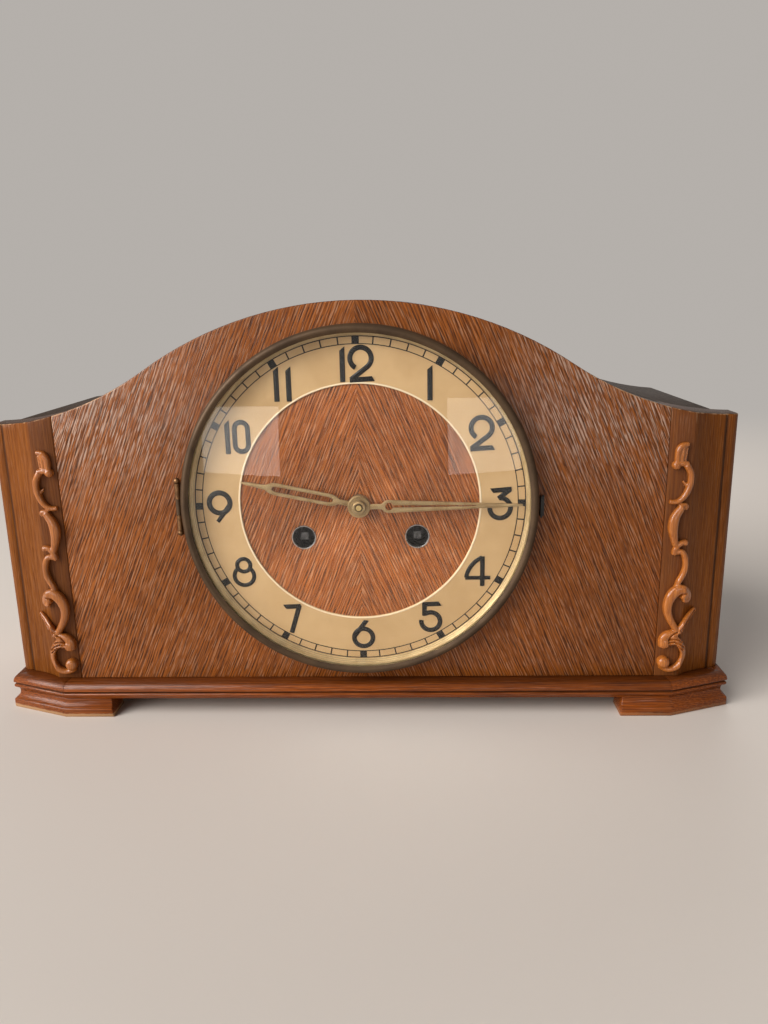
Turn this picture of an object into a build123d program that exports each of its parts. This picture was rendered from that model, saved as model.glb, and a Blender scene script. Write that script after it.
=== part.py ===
from build123d import *
import math
import os

# A tambour mantel clock in millimetres, +Z up, the dial facing -Y.
# The sizes below are measured from the face of the front panel (y = 0, y grows to the back)
# and from the table (z = 0). Every piece is moved by the same step at the end, so that the
# origin lies under the middle of the clock.

# Case outline: a round arch that runs into two hollow shoulders
ARCH_TOP = 228.0
ARCH_RADIUS = 202.0
SHOULDER_RADIUS = 172.0
PANEL_HALF_WIDTH = 163.0
SHOULDER_HEIGHT = 171.2
CASE_DEPTH = 146.0
PANEL_THICKNESS = 12.0
TOP_THICKNESS = 6.0
SIDE_THICKNESS = 10.0
SIDE_OUTER = 194.0
BACK_THICKNESS = 6.0

# Corner posts
POST_OUTER = 203.2
POST_DEPTH = 30.0
POST_FLAT = 13.0
POST_CANT_SETBACK = 9.8
POST_CANT_END = 195.6
POST_COVE = 1.3
POST_BEAD_SETBACK = 17.5

# Plinth mouldings and feet
FOOT_HEIGHT = 10.0
PLINTH_HEIGHT = 20.0
PLINTH_REACH = 9.0
PLINTH_BACKING = 8.0
PLINTH_FRONT_CORNER = 169.4
PLINTH_SIDE = 197.5
PLINTH_CANT = 20.4
BASE_THICKNESS = 8.0
FOOT_INNER_END = 143.0
FOOT_RETURN = 45.0

# Dial, bezel and glass
DIAL_HEIGHT = 121.5
CHAPTER_INNER = 64.2
CHAPTER_OUTER = 92.0
CHAPTER_THICKNESS = 0.8
BEZEL_RADIUS = 95.0
BEZEL_WALL = 2.0
BEZEL_LIP_RADIUS = 90.5
BEZEL_HEIGHT = 11.0
BEZEL_SEAT = 9.2
GLASS_RADIUS = 92.8
GLASS_CURVE = 500.0
GLASS_CLEARANCE = 0.15
GLASS_THICKNESS = 2.0
SIGHT_INNER = 89.0
SIGHT_FLARE = 1.2
SIGHT_DEPTH = 5.2
BEZEL_GAP = 0.3
BEZEL_HINGE_OFFSET = 2.6
BEZEL_HINGE_REACH = 2.6
BEZEL_HINGE_LENGTH = 26.0
BEZEL_KNUCKLE_RADIUS = 1.5
BEZEL_PIN_RADIUS = 0.8
CATCH_LENGTH = 11.0
CATCH_DROP = 1.8
CATCH_WIDTH = 2.4
CATCH_REACH = 5.0

# Carving: each stroke runs through points (out from the middle, up from the table) at a width
CARVING_RELIEF = 4.5
CARVING_STROKES = [
    ([(172.6, 151.9), (169.2, 151.6), (167.4, 149.0), (167.6, 142.4)], 3.0),
    ([(172.4, 141.9), (169.6, 142.0), (166.4, 141.2)], 2.8),
    ([(171.4, 141.4), (174.6, 136.4), (174.6, 130.4), (171.6, 123.4), (164.8, 120.8)], 2.9),
    ([(173.6, 129.0), (171.8, 131.0), (169.9, 133.0)], 1.8),
    ([(173.8, 119.0), (170.2, 119.6), (167.8, 112.6), (167.6, 105.0), (169.4, 97.0)], 4.0),
    ([(174.6, 98.8), (172.0, 98.0), (169.4, 96.0), (169.2, 92.6)], 2.8),
    ([(168.6, 92.9), (173.0, 93.4), (175.4, 87.0), (173.6, 79.2), (171.2, 71.8)], 2.8),
    ([(176.4, 65.4), (178.8, 67.6), (174.0, 72.4), (168.6, 67.4), (168.4, 57.2), (173.6, 47.8)], 4.4),
    ([(183.4, 59.2), (178.4, 55.0), (174.2, 47.4)], 3.0),
    ([(173.6, 46.9), (169.0, 46.6), (165.6, 43.4), (166.2, 39.4)], 3.6),
    ([(171.8, 46.4), (176.8, 39.4), (177.6, 30.6), (172.2, 24.8), (166.8, 27.4)], 3.4),
]
CARVING_BALL = (168.0, 29.4, 2.9)

# Hands
HOUR_HAND_LENGTH = 64.5
MINUTE_HAND_LENGTH = 86.5
HOUR_HAND_ANGLE = 282.0
MINUTE_HAND_ANGLE = 90.0
HAND_THICKNESS = 0.9
HOUR_HAND_Y = -3.9
MINUTE_HAND_Y = -6.4
HUB_RADIUS = 6.0
HOUR_LOOP = (15.0, 47.5)
HOUR_LOOP_WIDTH = 6.6
HOUR_LOOP_OPENING = 3.0
HOUR_TIP = (2.5, 1.7, 0.4)
HOUR_POINT = 3.0
MINUTE_EYE = (16.0, 3.5, 2.1)
MINUTE_BLADE = (20.0, 6.6, 1.1)
MINUTE_SLOT = (17.4, 62.0, 1.4, 0.5)
HAND_STEM_WIDTH = 2.8
NUT_RADIUS = 3.9
NUT_HEIGHT = 2.2

# Movement
PLATE_THICKNESS = 2.0
FRONT_PLATE_Y = 24.0
PLATE_SPACING = 40.0
PLATE_HALF_WIDTH = 58.0
PLATE_BOTTOM = 70.0
PLATE_TOP = 184.0
PILLAR_RADIUS = 4.0
PILLAR_INSET = 6.0
ARBOR_RADIUS = 1.2
PIVOT_RADIUS = 0.9
RUNNING_FIT = 0.05
END_SHAKE = 0.3
WINDING_SPACING = 61.6
WINDING_DROP = 18.25
WINDING_RADIUS = 3.0
WINDING_SQUARE = 4.0
WINDING_RECESS = 3.0
BUSH_RADIUS = 6.2
BUSH_FLANGE = 6.6
BUSH_BORE = 5.7
CENTRE_HOLE = 5.2
BARREL_RADIUS = 26.5
BARREL_LENGTH = 20.0
BARREL_WALL = 1.6
GREAT_WHEEL_Y = 31.0
GREAT_WHEEL_THICKNESS = 3.0
RATCHET_RADIUS = 10.0
RATCHET_TEETH = 18
RATCHET_Y = 20.0
RATCHET_THICKNESS = 2.4
CLICK_PIVOT_RADIUS = 1.5
CENTRE_ARBOR_RADIUS = 1.5
CANNON_PIPE_RADIUS = 2.4
HOUR_PIPE_RADIUS = 3.4
CANNON_Y = 20.6
HOUR_WHEEL_Y = 16.6
CENTRE_WHEEL_Y = 27.2
PIN_WHEEL_Y = 40.0
THIRD_WHEEL_Y = 46.0
ESCAPE_WHEEL_Y = 52.0
SECOND_WHEEL_Y = 58.0
PINION_OVERLAP = 0.5

# Toothed wheels: tooth counts, and the module of each pair that meshes
PRESSURE_ANGLE = 27.0
ADDENDUM = 0.8
DEDENDUM = 1.1
TOOTH_PLAY = 0.1
GREAT_TEETH = 72
GREAT_PINION = 10
GREAT_MODULE = 0.8
SECOND_TEETH = 60
CENTRE_PINION = 10
SECOND_MODULE = 0.6
CENTRE_TEETH = 96
THIRD_PINION = 8
CENTRE_MODULE = 0.4
THIRD_TEETH = 96
ESCAPE_PINION = 8
THIRD_MODULE = 0.36
ESCAPE_TEETH = 36
ESCAPE_THICKNESS = 0.6
ESCAPE_RADIUS = 9.0
STRIKE_SECOND_TEETH = 48
PIN_PINION = 8
PIN_TEETH = 56
FLY_PINION = 8
PIN_MODULE = 0.45
CANNON_TEETH = 12
MINUTE_TEETH = 36
CANNON_MODULE = 0.625
MINUTE_PINION = 10
HOUR_TEETH = 40
HOUR_MODULE = 0.6
WHEEL_THICKNESS = 1.2

# Pendulum, hammers and gong
ANCHOR_RISE = 13.0
PALLET_ANGLE = 35.0
PALLET_CLEARANCE = 1.2
PENDULUM_LENGTH = 114.0
PENDULUM_Y = 78.0
BOB_RADIUS = 15.0
BOB_THICKNESS = 6.0
ROD_RADIUS = 1.2
STUD_RADIUS = 2.0
HAMMER_PIVOT_X = -50.0
HAMMER_PIVOT_Z = 84.0
HAMMER_ARM = 34.0
HAMMER_RADIUS = 5.0
HAMMER_GAP = 2.0
GONG_ROD_RADIUS = 1.6
GONG_ROD_LENGTH = 190.0
GONG_Z = 52.0
GONG_YS = (92.0, 104.0)
GONG_BLOCK_X = -118.0
GONG_BLOCK_SIZE = 26.0

# Back door
DOOR_HALF_WIDTH = 95.0
DOOR_BOTTOM = 36.0
DOOR_TOP = 166.0
DOOR_GAP = 0.6
DOOR_KNUCKLE_RADIUS = 2.2
DOOR_PIN_RADIUS = 1.1
DOOR_HINGE_LENGTH = 30.0
DOOR_HINGE_INSET = 28.0
DOOR_LEAF_WIDTH = 13.0
KNOB_RADIUS = 6.0
KNOB_REACH = 11.0

# Places worked out from the sizes above
GLASS_RISE = GLASS_CURVE - math.sqrt(GLASS_CURVE**2 - BEZEL_LIP_RADIUS**2)
FRONT_REACH = BEZEL_SEAT - GLASS_CLEARANCE + GLASS_RISE
BACK_REACH = KNOB_REACH
SHIFT_Y = -(CASE_DEPTH + BACK_REACH - FRONT_REACH) / 2
BACK_PLATE_Y = FRONT_PLATE_Y + PLATE_THICKNESS + PLATE_SPACING
CENTRE = (0.0, DIAL_HEIGHT)
TIME_BARREL = (WINDING_SPACING / 2, DIAL_HEIGHT - WINDING_DROP)
STRIKE_BARREL = (-WINDING_SPACING / 2, DIAL_HEIGHT - WINDING_DROP)
BEZEL_AXIS = (-BEZEL_RADIUS - BEZEL_HINGE_OFFSET, -BEZEL_HINGE_REACH)
DOOR_AXIS = (-DOOR_HALF_WIDTH - DOOR_GAP / 2, CASE_DEPTH + DOOR_KNUCKLE_RADIUS + 0.3)


def mesh_distance(module, teeth, leaves):
    return module * (teeth + leaves) / 2


def polar(centre, distance, degrees):
    angle = math.radians(degrees)
    return (centre[0] + distance * math.cos(angle), centre[1] + distance * math.sin(angle))


def two_distances(first, first_distance, second, second_distance, side):
    """The point at the given distances from two others, on one side of the line between them."""
    dx = second[0] - first[0]
    dz = second[1] - first[1]
    gap = math.hypot(dx, dz)
    along = (first_distance**2 - second_distance**2 + gap**2) / (2 * gap)
    across = side * math.sqrt(first_distance**2 - along**2)
    x = first[0] + (along * dx - across * dz) / gap
    z = first[1] + (along * dz + across * dx) / gap
    return (x, z)


GREAT_DISTANCE = mesh_distance(GREAT_MODULE, GREAT_TEETH, GREAT_PINION)
SECOND_DISTANCE = mesh_distance(SECOND_MODULE, SECOND_TEETH, CENTRE_PINION)
CENTRE_DISTANCE = mesh_distance(CENTRE_MODULE, CENTRE_TEETH, THIRD_PINION)
THIRD_DISTANCE = mesh_distance(THIRD_MODULE, THIRD_TEETH, ESCAPE_PINION)
STRIKE_DISTANCE = mesh_distance(SECOND_MODULE, STRIKE_SECOND_TEETH, PIN_PINION)
PIN_DISTANCE = mesh_distance(PIN_MODULE, PIN_TEETH, FLY_PINION)
MOTION_DISTANCE = mesh_distance(CANNON_MODULE, CANNON_TEETH, MINUTE_TEETH)
TIME_SECOND = two_distances(CENTRE, SECOND_DISTANCE, TIME_BARREL, GREAT_DISTANCE, 1)
THIRD = polar(CENTRE, CENTRE_DISTANCE, 97)
ESCAPE = (0.0, THIRD[1] + math.sqrt(THIRD_DISTANCE**2 - THIRD[0] ** 2))
ANCHOR = (0.0, ESCAPE[1] + ANCHOR_RISE)
STRIKE_SECOND = polar(STRIKE_BARREL, GREAT_DISTANCE, 106.3)
PIN_ARBOR = polar(STRIKE_SECOND, STRIKE_DISTANCE, 70)
FLY_ARBOR = polar(PIN_ARBOR, PIN_DISTANCE, 60)
MINUTE_ARBOR = polar(CENTRE, MOTION_DISTANCE, 90)
TRAIN_ARBORS = (TIME_SECOND, THIRD, ESCAPE, ANCHOR, STRIKE_SECOND, PIN_ARBOR, FLY_ARBOR)


# Helpers: a slab is a drawing in (x, z) given a thickness from y0 back to y1


def slab(drawing, y0, y1):
    face = Plane(origin=(0, y0, 0), x_dir=(1, 0, 0), z_dir=(0, -1, 0)) * drawing
    return extrude(face, amount=-(y1 - y0))


def rod(place, radius, y0, y1):
    return slab(Pos(place[0], place[1]) * Circle(radius), y0, y1)


def block(x0, x1, y0, y1, z0, z1):
    middle = Pos((x0 + x1) / 2, (y0 + y1) / 2, (z0 + z1) / 2)
    return middle * Box(x1 - x0, y1 - y0, z1 - z0)


def upright(x, y, radius, z0, z1):
    return Pos(x, y, (z0 + z1) / 2) * Cylinder(radius, z1 - z0)


def turned(profile_edges):
    """A ring about the dial's axis, from a drawing of (radius, depth in front of the panel)."""
    level = Plane(origin=(0, 0, DIAL_HEIGHT), x_dir=(1, 0, 0), z_dir=(0, 0, 1))
    section = level * make_face(profile_edges)
    return revolve(section, Axis((0, 0, DIAL_HEIGHT), (0, 1, 0)))


def outline(inset, half_width, z_bottom):
    """The front's outline as a face in (x, z), drawn in by an inset and cut to a width."""
    centre = (0.0, ARCH_TOP - ARCH_RADIUS)
    reach = ARCH_RADIUS + SHOULDER_RADIUS
    dx = PANEL_HALF_WIDTH - centre[0]
    dz = SHOULDER_HEIGHT - centre[1]
    along = (dx**2 + dz**2 + reach**2 - SHOULDER_RADIUS**2) / (2 * reach)
    turn = math.atan2(dx, dz) - math.acos(along / math.hypot(dx, dz))
    hollow = (centre[0] + reach * math.sin(turn), centre[1] + reach * math.cos(turn))
    lowest = -math.pi
    starts = math.atan2(-math.sin(turn), -math.cos(turn))
    arch = ARCH_RADIUS - inset
    cove = SHOULDER_RADIUS + inset

    def on_arch(angle):
        return (centre[0] + arch * math.sin(angle), centre[1] + arch * math.cos(angle))

    def on_cove(angle):
        return (hollow[0] + cove * math.sin(angle), hollow[1] + cove * math.cos(angle))

    middle = starts + (lowest - starts) / 2
    meet = on_arch(turn)
    joint = on_cove(lowest)
    far = SIDE_OUTER + 40
    tip = (far, joint[1])
    halfway = on_cove(middle)
    edges = [
        ThreePointArc(meet, (0, ARCH_TOP - inset), (-meet[0], meet[1])),
        ThreePointArc(joint, halfway, meet),
        ThreePointArc((-meet[0], meet[1]), (-halfway[0], halfway[1]), (-joint[0], joint[1])),
        Line(tip, joint),
        Line((-joint[0], joint[1]), (-tip[0], tip[1])),
        Line((-tip[0], tip[1]), (-far, 0)),
        Line((-far, 0), (far, 0)),
        Line((far, 0), tip),
    ]
    height = ARCH_TOP + 10 - z_bottom
    window = Pos(0, z_bottom + height / 2) * Rectangle(2 * half_width, height)
    return make_face(edges) & window


def gear_outline(module, teeth, phase=0.0):
    """Involute teeth drawn with short straight flanks; phase is the angle of one tooth's middle."""
    pitch = module * teeth / 2
    base = pitch * math.cos(math.radians(PRESSURE_ANGLE))
    tip = pitch + ADDENDUM * module
    root = pitch - DEDENDUM * module
    lean = math.tan(math.radians(PRESSURE_ANGLE)) - math.radians(PRESSURE_ANGLE)
    half = (math.pi * module / 2 - TOOTH_PLAY) / (2 * pitch) + lean
    start = max(base, root)
    flank = []
    for step in range(4):
        radius = start + (tip - start) * step / 3
        spread = math.acos(min(1.0, base / radius))
        flank.append((radius, half - (math.tan(spread) - spread)))
    if root < base:
        flank.insert(0, (root, half))
    points = []
    for tooth in range(teeth):
        middle = phase + 2 * math.pi * tooth / teeth
        for radius, offset in flank:
            points.append((radius * math.cos(middle - offset), radius * math.sin(middle - offset)))
        for radius, offset in reversed(flank):
            points.append((radius * math.cos(middle + offset), radius * math.sin(middle + offset)))
    return Polygon(*points, align=None)


def meshing_phase(place, teeth, other_place, other_teeth, other_phase=0.0):
    """The phase that sets a gear's spaces against the teeth of the gear it meshes with."""
    line = math.atan2(place[1] - other_place[1], place[0] - other_place[0])
    ahead = (other_phase - line) % (2 * math.pi / other_teeth)
    return line + math.pi - ahead * other_teeth / teeth + math.pi / teeth


def gear(place, module, teeth, phase, y0, y1):
    return slab(Pos(place[0], place[1]) * gear_outline(module, teeth, phase), y0, y1)


def spoked_wheel(place, module, teeth, phase, y0, y1, spokes=4):
    """A wheel with its web cut out between the spokes."""
    drawing = gear_outline(module, teeth, phase)
    outer = module * teeth / 2 - 3.2 * module - 0.8
    hub = max(4.0, 0.28 * outer)
    ring = Circle(outer) - Circle(hub)
    for spoke in range(spokes):
        ring -= Rot(0, 0, 360 * spoke / spokes + 20) * Pos(outer / 2, 0) * Rectangle(outer * 1.2, 2.4)
    return slab(Pos(place[0], place[1]) * (drawing - ring), y0, y1)


def arbor(place, y0, y1, radius=ARBOR_RADIUS):
    """A shaft between the plates with a thin pivot at each end."""
    shaft = rod(place, radius, y0 + END_SHAKE, y1 - END_SHAKE)
    pivots = rod(place, PIVOT_RADIUS, y0 - PLATE_THICKNESS, y1 + PLATE_THICKNESS)
    return shaft + pivots


def train_arbor(place):
    return arbor(place, FRONT_PLATE_Y + PLATE_THICKNESS, BACK_PLATE_Y)


# Case


def front_panel():
    panel = slab(outline(0, PANEL_HALF_WIDTH, PLINTH_HEIGHT), 0, PANEL_THICKNESS)
    panel -= rod(CENTRE, CENTRE_HOLE, -1, PANEL_THICKNESS + 1)
    for place in (TIME_BARREL, STRIKE_BARREL):
        panel -= rod(place, BUSH_RADIUS, -1, PANEL_THICKNESS + 1)
    return panel


def post_plan():
    inner = PANEL_HALF_WIDTH
    flat_end = inner + POST_FLAT
    cove_x = (flat_end + POST_CANT_END) / 2 - POST_COVE * 0.45
    cove_y = POST_CANT_SETBACK / 2 + POST_COVE * 0.9
    quirk = (POST_CANT_END - 0.6, POST_CANT_SETBACK + 1.6)
    bead_end = (POST_OUTER, POST_BEAD_SETBACK)
    edges = [
        Line((inner, 0), (flat_end, 0)),
        ThreePointArc((flat_end, 0), (cove_x, cove_y), (POST_CANT_END, POST_CANT_SETBACK)),
        Line((POST_CANT_END, POST_CANT_SETBACK), quirk),
        ThreePointArc(quirk, (POST_OUTER - 2.0, POST_CANT_SETBACK + 2.8), bead_end),
        Line(bead_end, (POST_OUTER, POST_DEPTH)),
        Line((POST_OUTER, POST_DEPTH), (inner, POST_DEPTH)),
        Line((inner, POST_DEPTH), (inner, 0)),
    ]
    return make_face(edges)


def right_post():
    column = Pos(0, 0, PLINTH_HEIGHT) * extrude(post_plan(), amount=ARCH_TOP)
    return column & slab(outline(0, SIDE_OUTER + 30, 0), -5, POST_DEPTH + 5)


def mirrored(shape):
    return mirror(shape, about=Plane.YZ)


def top_board():
    band = outline(0, SIDE_OUTER, PLINTH_HEIGHT) - outline(TOP_THICKNESS, SIDE_OUTER + 1, PLINTH_HEIGHT - 1)
    board = slab(band, PANEL_THICKNESS, CASE_DEPTH)
    for side in (-1, 1):
        ends = sorted((side * PANEL_HALF_WIDTH, side * (POST_OUTER + 5)))
        board -= block(ends[0], ends[1], 0, POST_DEPTH, 0, ARCH_TOP)
    return board


def right_side_panel():
    inner = SIDE_OUTER - SIDE_THICKNESS
    wall = slab(outline(TOP_THICKNESS, SIDE_OUTER, PLINTH_HEIGHT), POST_DEPTH, CASE_DEPTH)
    return wall & block(inner, SIDE_OUTER, 0, CASE_DEPTH, 0, ARCH_TOP)


def back_panel():
    inner = SIDE_OUTER - SIDE_THICKNESS
    panel = slab(outline(TOP_THICKNESS, inner, PLINTH_HEIGHT), CASE_DEPTH - BACK_THICKNESS, CASE_DEPTH)
    return panel - block(
        -DOOR_HALF_WIDTH, DOOR_HALF_WIDTH, 0, CASE_DEPTH + 1, DOOR_BOTTOM, DOOR_TOP
    )


def plinth_point(reach, corner):
    """A corner of the plinth's plan, at a reach outside the line of the case."""
    cant = math.radians(PLINTH_CANT)
    if corner == "front":
        return (PLINTH_FRONT_CORNER + reach * math.tan(cant / 2), -reach)
    setback = (PLINTH_SIDE - PLINTH_FRONT_CORNER) * math.tan(cant)
    return (PLINTH_SIDE + reach, setback - reach * math.tan((math.pi / 2 - cant) / 2))


def base_board():
    front = plinth_point(-PLINTH_BACKING, "front")
    side = plinth_point(-PLINTH_BACKING, "side")
    half = [front, side, (side[0], CASE_DEPTH)]
    plan = half + [(-x, y) for x, y in reversed(half)]
    board = extrude(Polygon(*plan, align=None), amount=BASE_THICKNESS)
    return Pos(0, 0, PLINTH_HEIGHT - BASE_THICKNESS) * board


def rail_profile():
    """The plinth's moulding: a rounded nose over a groove, a small bead and a hollow."""
    top = PLINTH_HEIGHT
    bottom = FOOT_HEIGHT
    reach = PLINTH_REACH
    edges = [
        Line((-PLINTH_BACKING, bottom), (-PLINTH_BACKING, top)),
        Line((-PLINTH_BACKING, top), (reach - 4.6, top)),
        ThreePointArc((reach - 4.6, top), (reach - 1.6, top - 1.5), (reach - 0.5, top - 4.7)),
        Line((reach - 0.5, top - 4.7), (reach - 1.7, top - 5.3)),
        Line((reach - 1.7, top - 5.3), (reach - 1.4, top - 5.9)),
        ThreePointArc((reach - 1.4, top - 5.9), (reach - 0.7, top - 7.0), (reach - 1.6, top - 8.0)),
        ThreePointArc((reach - 1.6, top - 8.0), (reach - 2.6, top - 8.8), (reach - 3.0, bottom)),
        Line((reach - 3.0, bottom), (-PLINTH_BACKING, bottom)),
    ]
    return make_face(edges)


def foot_profile():
    """A bracket foot: a hollow that runs out to a square toe."""
    top = FOOT_HEIGHT
    reach = PLINTH_REACH
    edges = [
        Line((-PLINTH_BACKING, 0), (-PLINTH_BACKING, top)),
        Line((-PLINTH_BACKING, top), (reach - 3.0, top)),
        ThreePointArc((reach - 3.0, top), (reach - 2.6, top - 2.8), (reach - 0.9, top - 4.6)),
        Line((reach - 0.9, top - 4.6), (reach, top - 5.1)),
        Line((reach, top - 5.1), (reach, 0)),
        Line((reach, 0), (-PLINTH_BACKING, 0)),
    ]
    return make_face(edges)


def plinth_path():
    """The line of the case from the back right corner round the front to the back left."""
    front = plinth_point(0, "front")
    side = plinth_point(0, "side")
    right = [(side[0], CASE_DEPTH), side, front]
    return right + [(-x, y) for x, y in reversed(right)]


def heading(start, end):
    length = math.hypot(end[0] - start[0], end[1] - start[1])
    return ((end[0] - start[0]) / length, (end[1] - start[1]) / length)


def mitre(path, at):
    """The plane that cuts both runs where they meet, or squarely across an end of the path."""
    before = heading(path[max(at - 1, 0)], path[max(at, 1)])
    after = heading(path[min(at, len(path) - 2)], path[min(at + 1, len(path) - 1)])
    normal = (before[0] + after[0], before[1] + after[1], 0)
    return Plane(origin=(path[at][0], path[at][1], 0), z_dir=normal)


def run(profile, path, index, start_plane=None, end_plane=None):
    """One straight length of a moulding along the path, with mitred ends."""
    start = path[index]
    end = path[index + 1]
    along = heading(start, end)
    length = math.hypot(end[0] - start[0], end[1] - start[1])
    extra = 25.0
    first = (start[0] - extra * along[0], start[1] - extra * along[1], 0)
    plane = Plane(origin=first, x_dir=(-along[1], along[0], 0), z_dir=(along[0], along[1], 0))
    bar = extrude(plane * profile, amount=length + 2 * extra)
    bar = split(bar, bisect_by=start_plane or mitre(path, index), keep=Keep.TOP)
    return split(bar, bisect_by=end_plane or mitre(path, index + 1), keep=Keep.BOTTOM)


def front_foot():
    """The right front foot: a short front, the canted corner and a short side."""
    path = plinth_path()
    profile = foot_profile()
    side_cut = Plane(origin=(0, FOOT_RETURN, 0), z_dir=(0, -1, 0))
    inner_cut = Plane(origin=(FOOT_INNER_END, 0, 0), z_dir=(-1, 0, 0.18))
    foot = run(profile, path, 0, start_plane=side_cut)
    foot += run(profile, path, 1)
    return foot + run(profile, path, 2, end_plane=inner_cut)


def rear_foot():
    path = plinth_path()
    cut = Plane(origin=(0, CASE_DEPTH - FOOT_RETURN, 0), z_dir=(0, -1, 0))
    return run(foot_profile(), path, 0, end_plane=cut)


def stroke(points, width):
    """A curl of carving: a smooth band along the points, thick in the middle, with pointed ends."""
    line = Spline(*points)
    steps = [0.0, 0.15, 0.35, 0.5, 0.65, 0.85, 1.0]
    one_side = []
    other_side = []
    for step in steps:
        spot = line @ step
        along = line % step
        half = width / 2 * (0.45 + 0.55 * math.sin(math.pi * step))
        one_side.append((spot.X - half * along.Y, spot.Y + half * along.X))
        other_side.append((spot.X + half * along.Y, spot.Y - half * along.X))
    first = Spline(*one_side)
    second = Spline(*other_side)
    far_end = Line(one_side[-1], other_side[-1])
    near_end = Line(one_side[0], other_side[0])
    return make_face([first, second, far_end, near_end])


def right_carving():
    x, z, radius = CARVING_BALL
    drawing = Pos(x, z) * Circle(radius)
    for points, width in CARVING_STROKES:
        drawing += stroke(points, width)
    return slab(drawing, -CARVING_RELIEF, POST_CANT_SETBACK) - right_post()


# Dial, bezel and hands


def chapter_ring():
    drawing = Circle(CHAPTER_OUTER) - Circle(CHAPTER_INNER)
    return slab(Pos(0, DIAL_HEIGHT) * drawing, -CHAPTER_THICKNESS, 0)


def winding_bush(place):
    flange = rod(place, BUSH_FLANGE, -0.5, 0)
    tube = rod(place, BUSH_RADIUS, 0, PANEL_THICKNESS)
    return flange + tube - rod(place, BUSH_BORE, -1, PANEL_THICKNESS + 1)


def bezel_ring():
    wall = BEZEL_RADIUS - BEZEL_WALL
    lip = BEZEL_LIP_RADIUS
    top = -BEZEL_HEIGHT
    crest = (BEZEL_RADIUS + lip) / 2 + 0.2
    ring = turned(
        [
            Line((wall, -BEZEL_GAP), (BEZEL_RADIUS, -BEZEL_GAP)),
            Line((BEZEL_RADIUS, -BEZEL_GAP), (BEZEL_RADIUS, top + 3.2)),
            ThreePointArc((BEZEL_RADIUS, top + 3.2), (BEZEL_RADIUS - 0.9, top + 0.9), (crest, top)),
            ThreePointArc((crest, top), (lip + 0.9, top + 0.5), (lip, top + 1.4)),
            Line((lip, top + 1.4), (lip, -BEZEL_SEAT)),
            Line((lip, -BEZEL_SEAT), (wall, -BEZEL_SEAT)),
            Line((wall, -BEZEL_SEAT), (wall, -BEZEL_GAP)),
        ]
    )
    third = BEZEL_HINGE_LENGTH / 6
    x, y = BEZEL_AXIS
    knuckle = upright(x, y, BEZEL_KNUCKLE_RADIUS, DIAL_HEIGHT - third, DIAL_HEIGHT + third)
    tab = block(x, -BEZEL_RADIUS + 1.2, y - 0.7, y + 0.7, DIAL_HEIGHT - third, DIAL_HEIGHT + third)
    bore = upright(x, y, BEZEL_PIN_RADIUS + RUNNING_FIT, DIAL_HEIGHT - 20, DIAL_HEIGHT + 20)
    return ring + tab + knuckle - bore


def bezel_hinge():
    """Two lugs on the panel that hold the hinge pin, with a ball at each end."""
    x, y = BEZEL_AXIS
    half = BEZEL_HINGE_LENGTH / 2
    inner = BEZEL_HINGE_LENGTH / 6 + 0.3
    pieces = upright(x, y, BEZEL_PIN_RADIUS, DIAL_HEIGHT - half - 1, DIAL_HEIGHT + half + 1)
    for side in (-1, 1):
        ends = sorted((DIAL_HEIGHT + side * inner, DIAL_HEIGHT + side * half))
        pieces += upright(x, y, BEZEL_KNUCKLE_RADIUS, ends[0], ends[1])
        pieces += block(x - 1.1, x + 1.1, y, 0, ends[0], ends[1])
        pieces += Pos(x, y, DIAL_HEIGHT + side * (half + 1.4)) * Sphere(BEZEL_KNUCKLE_RADIUS + 0.2)
    return pieces


def bezel_catch():
    x = BEZEL_RADIUS + 1.2
    low = DIAL_HEIGHT - CATCH_DROP - CATCH_LENGTH / 2
    high = low + CATCH_LENGTH
    spring = block(x, x + 1.0, -CATCH_REACH, 0, low, high)
    foot = block(x, x + CATCH_WIDTH, -1.2, 0, low, high)
    return spring + foot


def bezel_glass():
    """A domed disc held under the bezel's lip."""
    apex = -FRONT_REACH

    def surface(radius):
        return (radius, apex + GLASS_CURVE - math.sqrt(GLASS_CURVE**2 - radius**2))

    middle = surface(GLASS_RADIUS / 2)
    rim = surface(GLASS_RADIUS)
    back = [(x, y + GLASS_THICKNESS) for x, y in (rim, middle, (0, apex))]
    return turned(
        [
            ThreePointArc((0, apex), middle, rim),
            Line(rim, back[0]),
            ThreePointArc(back[0], back[1], back[2]),
            Line(back[2], (0, apex)),
        ]
    )


def sight_ring():
    """The bright ring behind the glass, with a sloping inner face."""
    outer = BEZEL_RADIUS - BEZEL_WALL - 0.1
    back = -CHAPTER_THICKNESS - BEZEL_GAP
    front = back - SIGHT_DEPTH
    flared = SIGHT_INNER + SIGHT_FLARE
    corners = [(outer, back), (SIGHT_INNER, back), (flared, front), (outer, front)]
    return turned([Line(corners[i], corners[(i + 1) % 4]) for i in range(4)])


def on_dial(drawing, clock_angle, y0, y1):
    """A hand drawn pointing up, set at its angle clockwise from twelve."""
    return slab(Pos(0, DIAL_HEIGHT) * Rot(0, 0, -clock_angle) * drawing, y0, y1)


def tapered(start, end, start_width, end_width):
    """A flat bar along a hand, from one distance and width to another."""
    half = start_width / 2
    tip = end_width / 2
    return Polygon((-half, start), (half, start), (tip, end), (-tip, end), align=None)


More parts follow.
